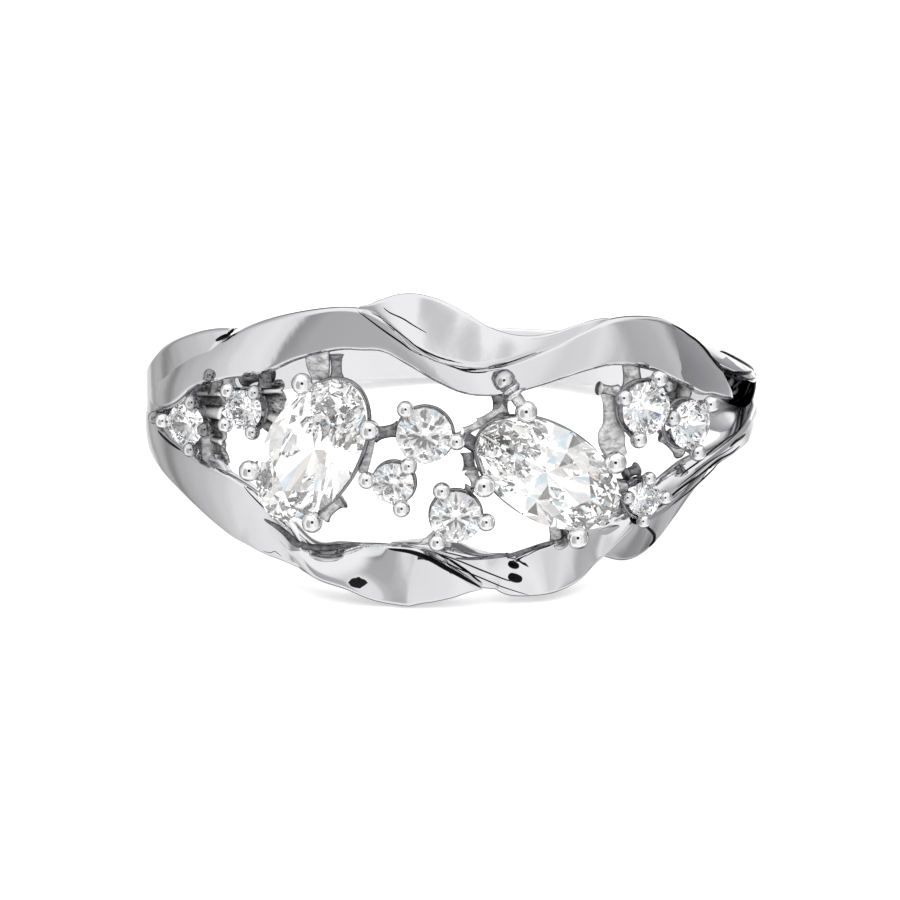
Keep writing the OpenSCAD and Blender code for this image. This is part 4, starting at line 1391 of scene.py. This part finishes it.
# %% A grey place under the ceiling
HUNG_AZIMUTH, HUNG_RISE = 42, 48
HUNG_FROM, HUNG_FULL, HUNG_DARK = 13, 2, 0.34
UNLIT = (0.02, 0.02, 0.02, 1)


def nearness(azimuth, rise):
    """The cosine of the angle between a direction and the one looked along."""
    azimuth, rise = math.radians(azimuth), math.radians(rise)
    way = (math.sin(azimuth) * math.cos(rise), -math.cos(azimuth) * math.cos(rise),
           math.sin(rise))
    return add(tree, "ShaderNodeVectorMath", {"operation": "DOT_PRODUCT"}, _0=add(
        tree, "ShaderNodeTexCoord").outputs["Generated"], _1=way).outputs["Value"]


hung = smooth_step(nearness(HUNG_AZIMUTH, HUNG_RISE), cosine(HUNG_FROM), cosine(HUNG_FULL))
room = mixed(product(hung, HUNG_DARK), room, UNLIT)

# %% The dark gap behind the ring
GAP_FROM, GAP_FULL, GAP_THIN, GAP_TO = 108, 118, 150, 160
GAP_SIDE, GAP_SIDE_FULL = 0.62, 0.35
GAP_DARK = 0.85
GAP_LEVEL = 0.24
toward = add(tree, "ShaderNodeVectorMath", {"operation": "DOT_PRODUCT"}, _0=add(
    tree, "ShaderNodeTexCoord").outputs["Generated"], _1=tuple(-SIGHT)).outputs["Value"]
gap = product(product(smooth_step(toward, cosine(GAP_FROM), cosine(GAP_FULL)),
                      smooth_step(toward, cosine(GAP_TO), cosine(GAP_THIN))),
              smooth_step(size_of(look.outputs["X"]), GAP_SIDE, GAP_SIDE_FULL))
gap = product(gap, smooth_step(size_of(look.outputs["Z"]), GAP_LEVEL / 2, GAP_LEVEL))
room = mixed(product(gap, GAP_DARK), room, UNLIT)

# %% [markdown]
# ## What the crystals see
#
# Light that has passed through a stone has been split into colours, which shows as pale blue and
# warm flashes. Following every colour would take very long, so the room that the light meets
# after the stone is tinted by direction instead. It is brighter and more even than the room that
# the metal mirrors, apart from the dark of the camera itself, which gives the facets contrast.

# %% The crystals' room
FLASHES = [
    (-180, "#FFFFFF"), (-168, "#DCD8D4"), (-156, "#FFFFFF"), (-140, "#E4E6EA"),
    (-128, "#FFFFFF"), (-122, "#4F92D6"), (-116, "#4F92D6"), (-110, "#FFFFFF"),
    (-96, "#E2DCD6"), (-82, "#FFFFFF"), (-66, "#D8DADC"), (-54, "#F2E2D8"),
    (-40, "#FFFFFF"), (-26, "#DAD8D4"), (-12, "#FFFFFF"), (6, "#E0DEDA"),
    (20, "#FFFFFF"), (34, "#B8DCEE"), (42, "#FFFFFF"), (58, "#D6D4D0"),
    (74, "#FFFFFF"), (90, "#F0DCD6"), (104, "#FFFFFF"), (120, "#D6D8DA"),
    (136, "#FFFFFF"), (150, "#D2E2F2"), (164, "#F4ECE6"), (180, "#FFFFFF"),
]
CRYSTAL_FILL = 0.66
CRYSTAL_LIGHT = 1.0
LENS_FROM, LENS_FULL, LENS_DARK = 14, 10, 0.85
TABLE_LIGHT = 1.25
rays = add(tree, "ShaderNodeLightPath")
tints = add(tree, "ShaderNodeValToRGB", Fac=share.outputs["Result"])
stops = tints.color_ramp.elements
while len(stops) < len(FLASHES):
    stops.new(0.5)
for stop, (azimuth, tint) in zip(stops, FLASHES):
    stop.position = (azimuth + 180) / 360
    stop.color = linear(tint)
filled = mixed(CRYSTAL_FILL, room, (CRYSTAL_LIGHT, CRYSTAL_LIGHT, CRYSTAL_LIGHT, 1))
clear = mixed(1.0, filled, tints.outputs["Color"], "MULTIPLY")
lens = smooth_step(toward, cosine(LENS_FROM), cosine(LENS_FULL))
clear = mixed(product(lens, LENS_DARK), clear, UNLIT)
seen = mixed(rays.outputs["Is Transmission Ray"], room, clear)
seen = mixed(rays.outputs["Is Diffuse Ray"], seen, (TABLE_LIGHT, TABLE_LIGHT, TABLE_LIGHT, 1))
sky = add(tree, "ShaderNodeBackground", Color=seen)
add(tree, "ShaderNodeOutputWorld", Surface=sky.outputs["Background"])

# %% [markdown]
# ## The lamp
#
# One large soft lamp hangs over the table. It lights the paper and the matt skins of the casting
# evenly from above. It stays out of the mirrors, where it would show as a hard bright square.

# %% The lamp over the table
LAMP_SIZE, LAMP_HEIGHT, LAMP_WATTS = 0.9, 0.6, 2.6
lamp = bpy.data.objects.new("lamp", bpy.data.lights.new("lamp", "AREA"))
lamp.data.size = LAMP_SIZE
lamp.data.energy = LAMP_WATTS
lamp.location = (0, 0.1, LAMP_HEIGHT)
lamp.visible_glossy = False
bpy.context.scene.collection.objects.link(lamp)
print("lamp, watts:", LAMP_WATTS)

# %% [markdown]
# ## Light inside the stones
#
# The index of cubic zirconia is so high that light is trapped and mirrored many times between
# the facets before it gets out. With the usual twelve bounces those paths end black, and the
# long stones get dead ends, so the path tracer may follow them further.

# %% Light paths and colours
CRYSTAL_BOUNCES = 48
scene = bpy.context.scene
scene.cycles.max_bounces = CRYSTAL_BOUNCES
scene.cycles.transmission_bounces = CRYSTAL_BOUNCES
scene.cycles.glossy_bounces = CRYSTAL_BOUNCES // 4
scene.view_settings.view_transform = "Standard"
